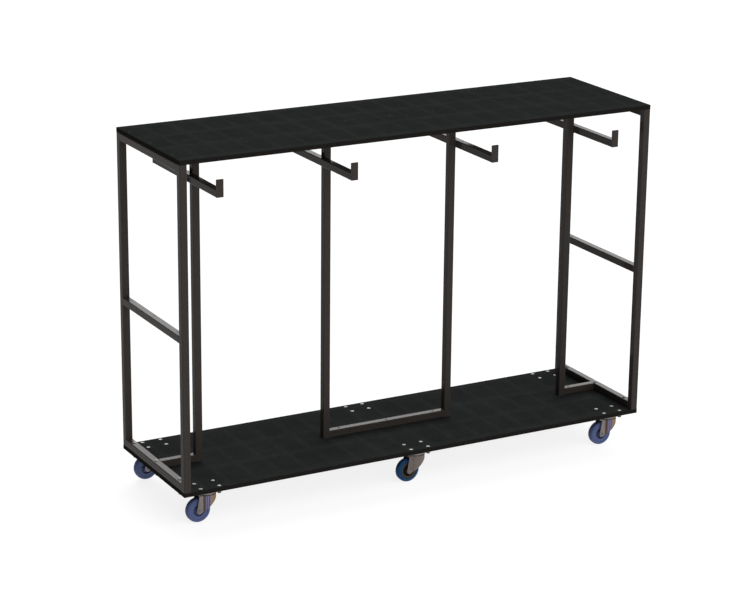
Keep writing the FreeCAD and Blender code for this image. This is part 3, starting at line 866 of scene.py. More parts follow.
@dataclass
class Wheel:
    """A moulded tyre on a nylon rim, turned about a level axle."""

    castor: str
    tread: Tread
    segments: int = 128
    rim_radius: float = 36 * MM
    recess_radius: float = 24.5 * MM
    hub_radius: float = 11 * MM
    bore_radius: float = 6.1 * MM
    web: float = 4 * MM
    rib_top: float = 8.5 * MM
    ribs: int = 8
    round_shoulder: float = 9 * MM
    bevel_side: float = 7 * MM
    bevel_drop: float = 12 * MM

    def __post_init__(self) -> None:
        """Take the wheel's place and size from its tyre."""
        low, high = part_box(self.castor + "_tyre")
        self.centre = (low + high) / 2
        self.radius = (high.z - low.z) / 2
        self.half_width = (high.y - low.y) / 2
        rim_low, rim_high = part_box(self.castor + "_rim")
        self.hub_half = (rim_high.y - rim_low.y) / 2

    def half_tyre(self) -> Profile:
        """The tyre's outline from the rim to the middle of its tread.

        Returns:
            The outline.
        """
        wide = self.half_width
        top = self.radius
        line = [(self.rim_radius, 4 * MM), (self.rim_radius, wide - 1.6 * MM)]
        if self.tread is Tread.ROUND:
            line += arc((self.rim_radius + 1.2 * MM, wide - 1.5 * MM), 1.2 * MM, 150, 90, 4)
            line += [(top - 9.6 * MM, wide - 0.35 * MM)]
            line += arc((top - 8.8 * MM, wide - 0.35 * MM), 0.35 * MM, 170, 10, 5)
            shoulder = self.round_shoulder
            line += arc((top - shoulder, wide - shoulder), shoulder - 0.25 * MM, 76, 12, 9)
            line += [(top - 0.12 * MM, wide - 10 * MM), (top, 0.5 * MM), (top, 0.0)]
        else:
            side, drop = self.bevel_side, self.bevel_drop
            line += arc((self.rim_radius + 0.8 * MM, wide - 0.8 * MM), 0.8 * MM, 180, 90, 4)
            line += [(top - drop - 0.3 * MM, wide - 0.05 * MM), (top - drop + 0.4 * MM, wide - 0.35 * MM)]
            line += [(top - drop * (1 - k / 4), wide - side * k / 4 - 0.1 * MM) for k in (1, 2, 3)]
            line += [(top - 0.6 * MM, wide - side + 0.2 * MM), (top - 0.12 * MM, wide - side - 0.4 * MM)]
            line += [(top, wide - side - 1.2 * MM), (top, 0.0)]
        return line

    def half_rim(self) -> Profile:
        """The rim's outline from the tyre's seat inwards to the hub.

        Returns:
            The outline.
        """
        wide = self.half_width
        face = wide - 1 * MM
        outer, recess, hub = self.rim_radius, self.recess_radius, self.hub_radius
        line = [(outer - 0.15 * MM, 0.0), (outer - 0.15 * MM, face - 1.0 * MM)]
        line += arc((outer - 1.15 * MM, face - 1.0 * MM), 1.0 * MM, 0, 90, 4)
        line += [(outer - 3.2 * MM, face), (outer - 3.6 * MM, face - 0.35 * MM),
                 (outer - 5.6 * MM, face - 0.35 * MM), (outer - 6.0 * MM, face)]
        line += arc((recess + 0.8 * MM, face - 0.8 * MM), 0.8 * MM, 90, 170, 4)
        line += [(recess - 1.3 * MM, self.web + 1.2 * MM), (recess - 2.4 * MM, self.web)]
        line += [(recess - 2.4 * MM - (recess - hub - 4.6 * MM) * k / 4, self.web) for k in range(1, 5)]
        line += [(hub + 1.0 * MM, self.web + 1.0 * MM), (hub + 0.2 * MM, self.hub_half - 0.7 * MM)]
        line += arc((hub - 0.6 * MM, self.hub_half - 0.7 * MM), 0.7 * MM, 10, 90, 3)
        bore, mouth = self.bore_radius, self.hub_half - 0.8 * MM
        line += [(bore + 1.8 * MM, self.hub_half), (bore + 1.2 * MM, mouth), (bore, mouth), (bore, 0.0)]
        return line

    @staticmethod
    def whole(half: Profile) -> Profile:
        """An outline and its mirror image across the wheel's middle plane, as one loop."""
        return half + [(radius, -along) for radius, along in reversed(half) if along > 0]

    def raise_ribs(self, verts: Iterable[bmesh.types.BMVert]) -> None:
        """Lift the web into radial ribs, with draft on their sides.

        Args:
            verts: The rim's vertices.
        """
        step = FULL_TURN / self.segments
        for vert in verts:
            away = vert.co - self.centre
            radius = math.hypot(away.x, away.z)
            on_web = self.hub_radius + 1.5 * MM < radius < self.recess_radius - 2 * MM
            on_web = on_web and abs(away.y) < self.web + 0.5 * MM
            turn = math.atan2(away.z, away.x) % (FULL_TURN / self.ribs)
            off = min(turn, FULL_TURN / self.ribs - turn)
            if on_web and off < 1.5 * step:
                vert.co.y += math.copysign(self.rib_top - self.web, away.y)

    def mark(self, bm: BMesh, name: str, value: Callable[[float, float], float]) -> None:
        """Write a number on each vertex, from its radius and its distance from the middle plane.

        Args:
            bm: The mesh.
            name: The attribute's name.
            value: What works the number out.
        """
        layer = bm.verts.layers.float.new(name)
        for vert in bm.verts:
            away = vert.co - self.centre
            vert[layer] = value(math.hypot(away.x, away.z), abs(away.y))

    def treading(self, radius: float, along: float) -> float:
        """How much darker and rougher a point of the wheel is made near the tread."""
        return min(1.0, max(0.0, (radius - self.radius + 3.2 * MM) / (2.4 * MM)))

    def depth(self, radius: float, along: float) -> float:
        """How much painted shade a point takes: in the rim's recess and in the groove at the tyre's seat.

        Args:
            radius: The point's distance from the axle's line.
            along: Its distance from the middle plane.

        Returns:
            1 in the recess or the groove, where the shade is painted, or else 0.
        """
        recessed = self.bore_radius + 6.5 * MM < radius < self.recess_radius + 0.4 * MM
        groove = abs(radius - self.rim_radius) < 0.9 * MM and along < self.half_width - 1.2 * MM
        return 1.0 if (recessed and along < self.half_width - 2 * MM) or groove else 0.0

    def build(self) -> None:
        """Make the tyre and the rim."""
        round_tread = self.tread is Tread.ROUND
        body = self.castor + "_wheel"
        parts = (
            ("tyre", self.whole(self.half_tyre()), LIGHT_BLUE if round_tread else DARK_BLUE,
             "light_blue_tyre" if round_tread else "dark_blue_tyre"),
            ("rim", self.whole(self.half_rim()), LIGHT_BLUE_RIM if round_tread else DARK_RIM,
             "blue_rim" if round_tread else "dark_rim"),
        )
        for part, outline, finish, slot in parts:
            bm = bmesh.new()
            verts = lathe(bm, outline, self.centre, Y_AXIS, self.segments, closed=True)
            if part == "rim":
                self.raise_ribs(verts)
            # painted shade: the recess and the seat groove are marked for darkening
            self.mark(bm, "depth", self.depth)
            self.mark(bm, "tread", self.treading if part == "tyre" else lambda radius, along: 0.0)
            mesh = to_mesh(bm, f"{self.castor}_moulded_{part}", 28.0)
            place_piece(mesh, finish, body, [f"{self.castor}_{part}"])


@dataclass
class Fork:
    """A pressed fork: a crown with a race step, a round back and two tapering legs, and its riveted axle."""

    castor: str
    finish: Finish
    radius: float = 36 * MM
    half_width: float = 24 * MM
    tip_radius: float = 12.5 * MM
    front_slope: float = 10.4
    rear_slope: float = 42.5
    wall: float = 2.5 * MM
    crown_bend: float = 2.8 * MM
    race_radius: float = 31 * MM
    race_step: float = 1.2 * MM
    axle_head: float = 6.5 * MM
    axle_radius: float = 4 * MM
    sleeve_radius: float = 6 * MM
    arc_steps: int = 48

    def __post_init__(self) -> None:
        """Take the swivel's and the axle's places from the joints."""
        self.swivel = joint_place(self.castor + "_swivel_turn")
        self.axle = joint_place(self.castor + "_wheel_roll")
        self.crown = self.swivel.z

    def plan(self, front: float) -> list[Vector]:
        """The outline from above: leg, round back, leg.

        Args:
            front: How far forward the legs reach.

        Returns:
            The points, round the swivel.
        """
        meet = math.degrees(math.acos(-math.sqrt(self.radius ** 2 - self.half_width ** 2) / self.radius))
        round_back = arc((0.0, 0.0), self.radius, -meet, meet, self.arc_steps)
        near = [(front, -self.half_width)]
        far = [(front, self.half_width)]
        return [Vector((x, y, 0.0)) for x, y in near + round_back + far]

    def pressed_shell(self) -> BMesh:
        """The outer skin of the fork, open at the front and below, round at its crown.

        Returns:
            The skin.
        """
        bm = bmesh.new()
        reach = self.axle.x - self.swivel.x - 2 * self.tip_radius
        low = self.axle.z - 2 * self.tip_radius
        verts = [bm.verts.new(self.at_swivel(p, low)) for p in self.plan(reach)]
        face = bm.faces.new(verts)
        drawn_out(bm, [face], self.crown - low)
        bmesh.ops.recalc_face_normals(bm, faces=bm.faces)
        front_x = self.swivel.x + reach
        rim = [e for e in bm.edges if all(abs(v.co.z - self.crown) < 1e-6 for v in e.verts)
               and not all(abs(v.co.x - front_x) < 1e-6 for v in e.verts)]
        bevelled(bm, rim, self.crown_bend, 5)
        open_faces = [f for f in bm.faces if all(abs(v.co.x - front_x) < 1e-6 for v in f.verts)
                      or all(abs(v.co.z - low) < 1e-6 for v in f.verts)]
        bmesh.ops.delete(bm, geom=open_faces, context="FACES")
        return bm

    def at_swivel(self, point: Vector, height: float) -> Vector:
        """A plan point carried to the swivel, at a height."""
        return Vector((point.x + self.swivel.x, point.y + self.swivel.y, height))

    def trim_legs(self, bm: BMesh, steps: int = 18) -> None:
        """Cut the shell to the front edge, the round tip about the axle and the slanted rear edge.

        Args:
            bm: The shell.
            steps: How many cuts follow the first.
        """
        start, end = -90 - self.front_slope, self.rear_slope
        for k in range(steps + 1):
            turn = math.radians(start + (end - start) * k / steps)
            away = Vector((math.sin(turn), 0.0, -math.cos(turn)))
            edge_point = self.axle + away * self.tip_radius
            bmesh.ops.bisect_plane(bm, geom=bm.verts[:] + bm.edges[:] + bm.faces[:], dist=1e-7,
                                   plane_co=edge_point, plane_no=away, clear_outer=True)

    def sweep_attribute(self, bm: BMesh) -> None:
        """Write on each vertex how far round the back it lies, from 0 at the rear to 1 at the front.

        Args:
            bm: The fork's mesh.
        """
        layer = bm.verts.layers.float.new("sweep")
        for vert in bm.verts:
            away = vert.co - self.swivel
            angle = abs(math.degrees(math.atan2(away.y, away.x)))
            vert[layer] = min(1.0, angle / 180.0)

    def build(self) -> None:
        """Make the fork and its axle."""
        bm = self.pressed_shell()
        self.trim_legs(bm)
        bmesh.ops.recalc_face_normals(bm, faces=bm.faces)
        crown_up = [f for f in bm.faces if f.normal.z > 0.9]
        if not crown_up:
            bmesh.ops.reverse_faces(bm, faces=bm.faces)
        bmesh.ops.solidify(bm, geom=bm.faces[:], thickness=self.wall)
        race = self.race_step
        profile = [(6.2 * MM, -0.8 * MM), (self.race_radius - 0.5 * MM, -0.8 * MM), (self.race_radius, 0.0)]
        profile += arc((self.race_radius - 0.7 * MM, race - 0.7 * MM), 0.7 * MM, 0, 90, 4)
        profile += arc((self.race_radius - 5 * MM, race), 1.6 * MM, 0, -180, 8)
        profile += [(6.2 * MM, race)]
        lathe(bm, profile, Vector((self.swivel.x, self.swivel.y, self.crown)), Z_AXIS, 72, closed=True)
        self.sweep_attribute(bm)
        mesh = to_mesh(bm, self.castor + "_pressed_fork", 32.0)
        self.soften(place_piece(mesh, self.finish, self.castor + "_swivel",
                                [self.castor + "_fork"]))
        self.build_axle()

    @staticmethod
    def soften(piece: bpy.types.Object) -> None:
        """Break the pressing's cut edges.

        Args:
            piece: The fork.
        """
        bevel = piece.modifiers.new("broken_edges", "BEVEL")
        bevel.width = 0.35 * MM
        bevel.segments = 2
        bevel.limit_method = "ANGLE"
        bevel.angle_limit = math.radians(50)

    def build_axle(self) -> None:
        """The axle's two peened heads and the sleeve between the legs."""
        low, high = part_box(self.castor + "_axle")
        end = (high.y - low.y) / 2
        leg = self.half_width
        half = [(0.0, end - 0.5 * MM), (1.4 * MM, end - 0.5 * MM), (1.9 * MM, end)]
        half += arc((4.2 * MM, end - 1.9 * MM), 1.9 * MM, 80, 15, 6)
        half += [(self.axle_head, leg + 0.4 * MM), (self.axle_head, leg + 0.03 * MM), (self.axle_radius, leg)]
        half += [(self.axle_radius, leg - self.wall), (self.sleeve_radius, leg - self.wall - 0.02 * MM)]
        outline = half + [(radius, -along) for radius, along in reversed(half)]
        bm = bmesh.new()
        centre = Vector((self.axle.x, (low.y + high.y) / 2, self.axle.z))
        lathe(bm, outline, centre, Y_AXIS, 40)
        mesh = to_mesh(bm, self.castor + "_riveted_axle")
        place_piece(mesh, PLAIN_STEEL, self.castor + "_swivel", [self.castor + "_axle"])


@dataclass
class CastorTops:
    """What stays on the deck: the castors' plates, kingpins and bearing balls."""

    plate_length: float = 100 * MM
    plate_width: float = 85 * MM
    plate_thick: float = 3 * MM
    plate_corner: float = 8 * MM
    skirt_radius: float = 34.5 * MM
    skirt_wall: float = 1.6 * MM
    ball_circle: float = 26 * MM
    ball_radius: float = 2.5 * MM
    balls: int = 12
    pin_radius: float = 6 * MM
    cap_radius: float = 15 * MM

    def __post_init__(self) -> None:
        """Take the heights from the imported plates, pins and balls."""
        self.swivels = [joint_place(name + "_swivel_turn") for name in CASTOR_NAMES]
        self.places = [Vector((p.x, p.y, 0.0)) for p in self.swivels]
        self.skirt_bottom, self.top = (corner.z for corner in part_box("castor_plates"))
        self.cap_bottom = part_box("castor_kingpins")[0].z
        self.ball_height = middle("castor_bearing_balls").z
        self.crown = self.swivels[0].z

    def plate(self) -> Mesh:
        """A plate with round corners, broken edges and the upper race pressed down from it.

        Returns:
            The plate about the vertical axis.
        """
        bm = bmesh.new()
        bmesh.ops.create_grid(bm, x_segments=1, y_segments=1, size=0.5)
        bmesh.ops.scale(bm, vec=(self.plate_length, self.plate_width, 1.0), verts=bm.verts)
        bevelled(bm, bm.verts[:], self.plate_corner, 8, "VERTICES")
        drawn_out(bm, bm.faces, -self.plate_thick)
        bmesh.ops.translate(bm, vec=(0, 0, self.top), verts=bm.verts)
        bmesh.ops.recalc_face_normals(bm, faces=bm.faces)
        edges = [e for e in bm.edges if abs(e.verts[0].co.z - e.verts[1].co.z) < 1e-6]
        bevelled(bm, edges, 0.5 * MM, 2)
        under = self.top - self.plate_thick
        drop = under - self.skirt_bottom
        outer, inner = self.skirt_radius, self.skirt_radius - self.skirt_wall
        roof = self.ball_height + self.ball_radius + 0.1 * MM - under
        profile = arc((outer + 1.2 * MM, -1.2 * MM), 1.2 * MM, 90, 180, 5)
        profile += arc((outer - 0.8 * MM, -drop + 0.8 * MM), 0.8 * MM, 0, -90, 4)
        profile += [(inner, -drop), (inner, roof - 0.8 * MM), (inner - 0.8 * MM, roof)]
        hole = self.pin_radius + 0.2 * MM
        profile += [(hole, roof), (hole, 0.3 * MM), (outer + 1.2 * MM, 0.3 * MM)]
        lathe(bm, profile, Vector((0, 0, under)), Z_AXIS, 72, closed=True)
        return to_mesh(bm, "plate_unit")

    def kingpin(self) -> Mesh:
        """A pin with a domed cap under the crown and its peened end in the plate.

        Returns:
            The pin about the vertical axis.
        """
        bm = bmesh.new()
        cap_top = self.crown - 2.65 * MM
        thick = cap_top - self.cap_bottom
        profile = [(0.0, self.top - 0.4 * MM), (self.pin_radius - 0.8 * MM, self.top - 0.4 * MM)]
        profile += [(self.pin_radius, self.top - 1.2 * MM), (self.pin_radius, cap_top)]
        profile += [(self.cap_radius - 0.6 * MM, cap_top), (self.cap_radius, cap_top - 0.6 * MM)]
        profile += arc((self.cap_radius - thick + 1 * MM, cap_top - 1 * MM), thick - 1 * MM, 0, -90, 7)
        dimple = self.cap_bottom + 1.2 * MM
        profile += [(5.0 * MM, self.cap_bottom), (4.0 * MM, dimple), (0.0, dimple)]
        lathe(bm, profile, Vector((0, 0, 0)), Z_AXIS, 48)
        return to_mesh(bm, "kingpin_unit")

    def ball_ring(self) -> Mesh:
        """One castor's ring of bearing balls.

        Returns:
            The balls about the vertical axis.
        """
        bm = bmesh.new()
        for k in range(self.balls):
            turn = FULL_TURN * k / self.balls
            spot = Vector((math.cos(turn), math.sin(turn), 0.0)) * self.ball_circle
            place = Matrix.Translation(spot + Vector((0, 0, self.ball_height)))
            bmesh.ops.create_icosphere(bm, subdivisions=2, radius=self.ball_radius, matrix=place)
        return to_mesh(bm, "ball_unit", 180.0)

    def build(self) -> None:
        """Make the six castors' fixed parts."""
        plates = repeat(self.plate(), "castor_top_plates", self.places)
        place_piece(plates, CASTOR_PLATE_ZINC, CHASSIS, ["castor_plates"])
        pins = repeat(self.kingpin(), "castor_kingpin_caps", self.places)
        place_piece(pins, PLAIN_STEEL, CHASSIS, ["castor_kingpins"])
        balls = repeat(self.ball_ring(), "castor_ball_rings", self.places)
        place_piece(balls, PLAIN_STEEL, CHASSIS, ["castor_bearing_balls"])


# Fasteners

@dataclass
class Fasteners:
    """Bolts, nuts, washers and screws, each kind in one piece."""

    shank: float = 4 * MM
    pitch: float = 1.25 * MM
    washer_radius: float = 8.5 * MM
    washer_thick: float = 1.6 * MM
    nut_flats: float = 13 * MM
    nut_height: float = 6.5 * MM
    castor_head: float = 8.0 * MM
    castor_dome: float = 2.0 * MM
    rail_head: float = 8.5 * MM
    plate_thick: float = 3 * MM
    top_screw_pitch: float = 200 * MM
    rail_screw_pitch: float = 222 * MM
    past_bay_post: float = 41 * MM

    def __post_init__(self) -> None:
        """Find the fasteners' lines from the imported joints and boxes."""
        bolts_low, bolts_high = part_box("castor_bolts")
        deck_low, deck_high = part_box("deck_board")
        self.deck_bottom, self.deck_top, self.board_top = deck_low.z, deck_high.z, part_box("top_board")[1].z
        swivels = [joint_place(name + "_swivel_turn") for name in CASTOR_NAMES]
        head = self.castor_head
        reach_x = bolts_high.x - head - max(p.x for p in swivels)
        reach_y = bolts_high.y - head - max(p.y for p in swivels)
        self.castor_spots = [Vector((p.x + sx * reach_x, p.y + sy * reach_y, 0.0))
                             for p in swivels for sx in (-1, 1) for sy in (-1, 1)]
        self.castor_tip = bolts_low.z
        self.plate_bottom = self.deck_bottom - self.plate_thick
        self.rail_spots, self.rail_tip, self.rail_top = self.row_of_bolts()

    def row_of_bolts(self) -> tuple[list[Vector], float, float]:
        """The end frames' bolts: their spots, their tips' height and their heads' height.

        Returns:
            The three of them.
        """
        low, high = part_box("rail_bolts")
        head = self.rail_head
        spots = [Vector((x, y, 0.0)) for x in (low.x + head, high.x - head)
                 for y in (low.y + head, 0.0, high.y - head)]
        return spots, low.z, high.z

    def threaded_bolt(self, name: str, seat: float, tip: float, head: float, dome: float,
                      thread_from: float) -> Mesh:
        """A bolt with a domed head and a thread at its tip.

        Args:
            name: The mesh's name.
            seat: The height that the head sits on.
            tip: The height of the bolt's lower end.
            head: The head's radius.
            dome: The head's height.
            thread_from: The height below which the thread shows.

        Returns:
            The bolt about the vertical axis.
        """
        sphere = ((head - 0.3 * MM) ** 2 + (dome - 0.6 * MM) ** 2) / (2 * (dome - 0.6 * MM))
        half = math.degrees(math.asin((head - 0.3 * MM) / sphere))
        profile = arc((0.0, seat + dome - sphere), sphere, 90, 90 - half, 10)
        profile += [(head, seat + 0.4 * MM), (head, seat + 0.1 * MM), (head - 0.2 * MM, seat)]
        profile += [(self.shank, seat)]
        turns = int((thread_from - tip - 0.8 * MM) / self.pitch)
        for k in range(turns):
            height = thread_from - k * self.pitch
            root, half_way = self.shank - 0.55 * MM, height - self.pitch / 2
            profile += [(self.shank, height), (self.shank, height - 0.15 * MM), (root, half_way),
                        (root, half_way - 0.12 * MM)]
        profile += [(self.shank - 0.1 * MM, tip + 0.6 * MM), (self.shank - 0.8 * MM, tip), (0.0, tip)]
        bm = bmesh.new()
        lathe(bm, profile, Vector((0, 0, 0)), Z_AXIS, 32)
        # painted shade: the thread's end below the nut, under the deck, is marked to be darkened
        painted_shade_under_deck = bm.verts.layers.float.new("painted_shade_under_deck")
        for vert in bm.verts:
            vert[painted_shade_under_deck] = 1.0 if vert.co.z < thread_from + self.pitch else 0.0
        return to_mesh(bm, name, 40.0)

    def nut_and_washer(self, name: str, seat: float) -> Mesh:
        """A chamfered hexagon nut and its washer under the seat.

        Args:
            name: The mesh's name.
            seat: The height of the face that they press on.

        Returns:
            The pair about the vertical axis.
        """
        bm = bmesh.new()
        low = seat - self.washer_thick
        edge = 0.3 * MM
        bore = self.shank + 0.3 * MM
        rim, top = self.washer_radius, seat - 0.02 * MM
        washer = [(bore, top), (rim - edge, top), (rim, seat - edge), (rim, low + edge), (rim - edge, low), (bore, low)]
        lathe(bm, washer, Vector((0, 0, 0)), Z_AXIS, 32, closed=True)
        corner = self.nut_flats / math.sqrt(3)
        middle_height = low - self.nut_height / 2
        made = bmesh.ops.create_cone(bm, cap_ends=True, cap_tris=False, segments=6, radius1=corner,
                                     radius2=corner, depth=self.nut_height,
                                     matrix=Matrix.Translation((0, 0, middle_height)))
        faces = {f for v in made["verts"] for f in v.link_faces if abs(f.normal.z) > 0.9 or len(f.verts) == 6}
        bmesh.ops.inset_region(bm, faces=list(faces), thickness=0.9 * MM, depth=0.45 * MM,
                               use_even_offset=True)
        return to_mesh(bm, name, 20.0)

    @staticmethod
    def cross_recess(bm: BMesh, height: float, arm: float, waist: float, depth: float,
                     rim: Sequence) -> None:
        """A cross recess joined to a ring of edges round it.

        Args:
            bm: The mesh that holds the ring.
            height: The height of the head's top.
            arm: How far the cross reaches.
            waist: How far its inner corners lie from the middle.
            depth: How deep it is.
            rim: The edges of the ring.
        """
        made = bmesh.ops.create_circle(bm, cap_ends=False, segments=12, radius=arm)
        for k, vert in enumerate(made["verts"]):
            quarter, corner = divmod(k, 3)
            turn = math.radians(quarter * 90 + (-18, 18, 45)[corner])
            reach = waist if corner == 2 else arm
            vert.co = Vector((math.cos(turn) * reach, math.sin(turn) * reach, height))
        cross = list({e for v in made["verts"] for e in v.link_edges})
        bmesh.ops.bridge_loops(bm, edges=list(rim) + cross)
        grown = bmesh.ops.extrude_edge_only(bm, edges=cross)
        sunk = [v for v in grown["geom"] if isinstance(v, bmesh.types.BMVert)]
        bmesh.ops.translate(bm, vec=(0, 0, -depth), verts=sunk)
        bmesh.ops.scale(bm, vec=(0.6, 0.6, 1.0), verts=sunk)
        bottom = [e for e in grown["geom"] if isinstance(e, bmesh.types.BMEdge)]
        bmesh.ops.contextual_create(bm, geom=bottom)

    def cross_screw(self, name: str, profile: Profile, top: float, arm: float) -> Mesh:
        """A turned screw whose flat top has a cross recess; the outline starts at the top's rim.

        Args:
            name: The mesh's name.
            profile: The outline.
            top: The height of the flat top.
            arm: How far the cross reaches.

        Returns:
            The screw about the vertical axis.
        """
        bm = bmesh.new()
        lathe(bm, profile, Vector((0, 0, 0)), Z_AXIS, 24)
        rim = [e for e in bm.edges if e.is_boundary and all(abs(v.co.z - top) < 1e-6 for v in e.verts)]
        self.cross_recess(bm, top, arm, arm * 0.42, 1.6 * MM, rim)
        return to_mesh(bm, name, 30.0)

    @staticmethod
    def set_row(unit: Mesh, name: str, spots: Sequence[Vector], finish: Finish, slot: str, node: str) -> None:
        """Set one fastener at each spot, all in one piece.

        Args:
            unit: The fastener about the vertical axis.
            name: The piece's name.
            spots: Where the fasteners stand.
            finish: Their finish.
            slot: Their material slot in the record; not used.
            node: The node that they stand for.
        """
        place_piece(repeat(unit, name, spots), finish, CHASSIS, [node])

    def build(self) -> None:
        """Make every kind of fastener."""
        below = self.washer_thick + self.nut_height - self.pitch
        bolt = self.threaded_bolt("castor_bolt_unit", self.deck_top, self.castor_tip,
                                  self.castor_head - 0.4 * MM, self.castor_dome - 0.3 * MM,
                                  self.plate_bottom - below)
        self.set_row(bolt, "castor_dome_bolts", self.castor_spots, BRIGHT_ZINC, "bright_zinc", "castor_bolts")
        nut = self.nut_and_washer("castor_nut_unit", self.plate_bottom)
        self.set_row(nut, "castor_nuts_and_washers", self.castor_spots, NUT_ZINC_PAINTED_SHADE, "bright_zinc", "castor_nuts")
        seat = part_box("left_end_bottom_rail")[1].z
        bolt = self.threaded_bolt("rail_bolt_unit", seat, self.rail_tip, self.rail_head, self.rail_top - seat,
                                  self.deck_bottom - below)
        self.set_row(bolt, "rail_dome_bolts", self.rail_spots, BOLT_COAT_PAINTED_HIGHLIGHT, "painted_bolt", "rail_bolts")
        nut = self.nut_and_washer("rail_nut_unit", self.deck_bottom)
        self.set_row(nut, "rail_nuts_and_washers", self.rail_spots, SCREW_BLACK, "bright_zinc", "rail_nuts")
        self.build_screws()

    def build_screws(self) -> None:
        """Make the top board's screws and the ones inside the centre rails."""
        end_x = middle("left_end_top_rail").x
        pitch = self.top_screw_pitch
        far = abs(middle("left_bay_post").x) + self.past_bay_post
        outer = [Vector((sx * far, 0.0, 0.0)) for sx in (-1, 1)]
        spots = [Vector((sx * abs(end_x), k * pitch, 0.0)) for sx in (-1, 1) for k in (-1, 0, 1)]
        spots += [Vector((k * pitch, 0.0, 0.0)) for k in (-1, 0, 1)] + outer
        top = self.board_top - 0.05 * MM
        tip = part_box("top_board_screws")[0].z
        head, shank = 4.6 * MM, 2.4 * MM
        profile = [(3.4 * MM, top), (head - 0.1 * MM, top), (head, top - 0.15 * MM), (shank, top - 2.3 * MM),
                   (shank, tip + 4 * MM), (0.3 * MM, tip), (0.0, tip)]
        screw = self.cross_screw("top_screw_unit", profile, top, 2.6 * MM)
        self.set_row(screw, "top_board_cross_screws", spots, SCREW_BLACK, "black_screw", "top_board_screws")
        low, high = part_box("recessed_rail_screws")
        spots = [Vector((k * self.rail_screw_pitch, 0.0, 0.0)) for k in (-1, 0, 1)] + outer
        seat = self.deck_top + 2 * MM
        profile = [(2.3 * MM, high.z)] + arc((2.3 * MM, high.z - 1.9 * MM), 1.9 * MM, 80, 0, 5)
        profile += [(4.2 * MM, seat), (2.2 * MM, seat), (2.2 * MM, low.z + 3 * MM), (0.3 * MM, low.z)]
        profile += [(0.0, low.z)]
        screw = self.cross_screw("recessed_screw_unit", profile, high.z, 1.9 * MM)
        self.set_row(screw, "recessed_pan_screws", spots, SCREW_BLACK, "black_screw", "recessed_rail_screws")


# Welds

@dataclass
class WeldRing:
    """A weld bead round the end of a square tube.

    The bead runs in the plane across the axis, half_a and half_b from the centre, and shows fine ripples.
    """

    centre: Vector
    axis: Vector
    half_a: float
    half_b: float
    bead: float = 1.9 * MM
    corner: float = 7.0
    segments: int = 88
    ripples: int = 44

    def add(self, bm: BMesh) -> None:
        """Spin a bead, square it and carry it to its joint.

        Args:
            bm: The mesh that gets the bead.
        """
        profile = arc((1.0, 0.0), self.bead, 0, 300, 5)
        verts = lathe(bm, profile, Vector((0, 0, 0)), Z_AXIS, self.segments, closed=True)
        for vert in verts:
            turn = math.atan2(vert.co.y, vert.co.x)
            ripple = 1.0 + 0.12 * math.cos(self.ripples * turn)
            spread = (math.hypot(vert.co.x, vert.co.y) - 1.0) * ripple
            across_a, across_b = abs(math.cos(turn) / self.half_a), abs(math.sin(turn) / self.half_b)
            radius = (across_a ** self.corner + across_b ** self.corner) ** (-1 / self.corner) + spread
            vert.co = Vector((math.cos(turn) * radius, math.sin(turn) * radius, vert.co.z * ripple))
        across = Y_AXIS if abs(self.axis.x) > 0.5 else X_AXIS
        turned = Matrix((across, Z_AXIS, self.axis)).transposed().to_4x4()
        bmesh.ops.transform(bm, matrix=Matrix.Translation(self.centre) @ turned, verts=verts)


@dataclass
class Welds:
    """Every weld of the frame, from the places where its tubes meet."""

    flush: float = 13.65 * MM
    fillet: float = 15.1 * MM
    skin: float = 0.3 * MM
    half_tube: float = 15 * MM

    def __post_init__(self) -> None:
        """Take the limits that the welds are ground to from the boards."""
        self.low, self.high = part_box("deck_board")
        self.deck_top = self.high.z
        self.frame_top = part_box("top_board")[0].z

    @staticmethod
    def rail_ends(node: str, axis: int) -> list[Vector]:
        """The middles of a rail's two end faces.

        Args:
            node: The rail's node.
            axis: The number of the axis along the rail.

        Returns:
            The two points.
        """
        low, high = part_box(node)
        ends = []
        for value in (low[axis], high[axis]):
            end = (low + high) / 2
            end[axis] = value
            ends.append(end)
        return ends

    def rings(self) -> dict[str, list[WeldRing]]:
        """The weld rings by the part of the frame they hold together.

        Returns:
            The rings by name.
        """
        found: dict[str, list[WeldRing]] = {"left_end": [], "right_end": [], "centre": [], "arm": []}
        for side in ("left", "right"):
            for level in ("bottom", "middle", "top"):
                for end in self.rail_ends(f"{side}_end_{level}_rail", 1):
                    found[side + "_end"].append(WeldRing(end, Y_AXIS, self.flush, self.fillet))
            for level in ("bottom", "top"):
                ends = sorted(self.rail_ends(f"{side}_bay_{level}_rail", 0), key=lambda p: abs(p.x))
                found["centre"].append(WeldRing(ends[0], X_AXIS, self.flush, self.fillet))
                found["centre"].append(WeldRing(ends[1], X_AXIS, self.fillet, self.flush))
        for level in ("bottom", "top"):
            for end in self.rail_ends(f"portal_{level}_rail", 0):
                found["centre"].append(WeldRing(end, X_AXIS, self.flush, self.fillet))
        for side, sign in (("left", -1), ("right", 1)):
            for arm, post in (("outer", side + "_bay_post"), ("inner", f"portal_{side}_post")):
                centre = middle(f"{side}_{arm}_arm")
                outward = 1 if middle(post).x > centre.x else -1
                touch = Vector((centre.x + outward * self.half_tube, 0.0, centre.z))
                found["arm"].append(WeldRing(touch, X_AXIS, self.fillet, self.fillet))
                for end in self.rail_ends(f"{side}_{arm}_arm", 1):
                    lifted = end + Z_AXIS * (self.fillet - self.flush) / 2
                    found["arm"].append(WeldRing(lifted, Y_AXIS, self.flush, (self.fillet + self.flush) / 2))
        return found

    def grind(self, bm: BMesh) -> None:
        """Keep the beads just under the frame's outer faces and clear of the boards.

        Args:
            bm: The beads.
        """
        for vert in bm.verts:
            vert.co.x = min(max(vert.co.x, self.low.x + self.skin), self.high.x - self.skin)
            vert.co.y = min(max(vert.co.y, self.low.y + self.skin), self.high.y - self.skin)
            vert.co.z = min(max(vert.co.z, self.deck_top + self.skin), self.frame_top - self.skin)

    def build(self) -> None:
        """Make the weld pieces."""
        for name, rings in self.rings().items():
            bm = bmesh.new()
            for ring in rings:
                ring.add(bm)
            self.grind(bm)
            mesh = to_mesh(bm, name + "_weld_beads", 60.0)
            place_piece(mesh, WELD_PAINT, CHASSIS)


# The cart and its setting

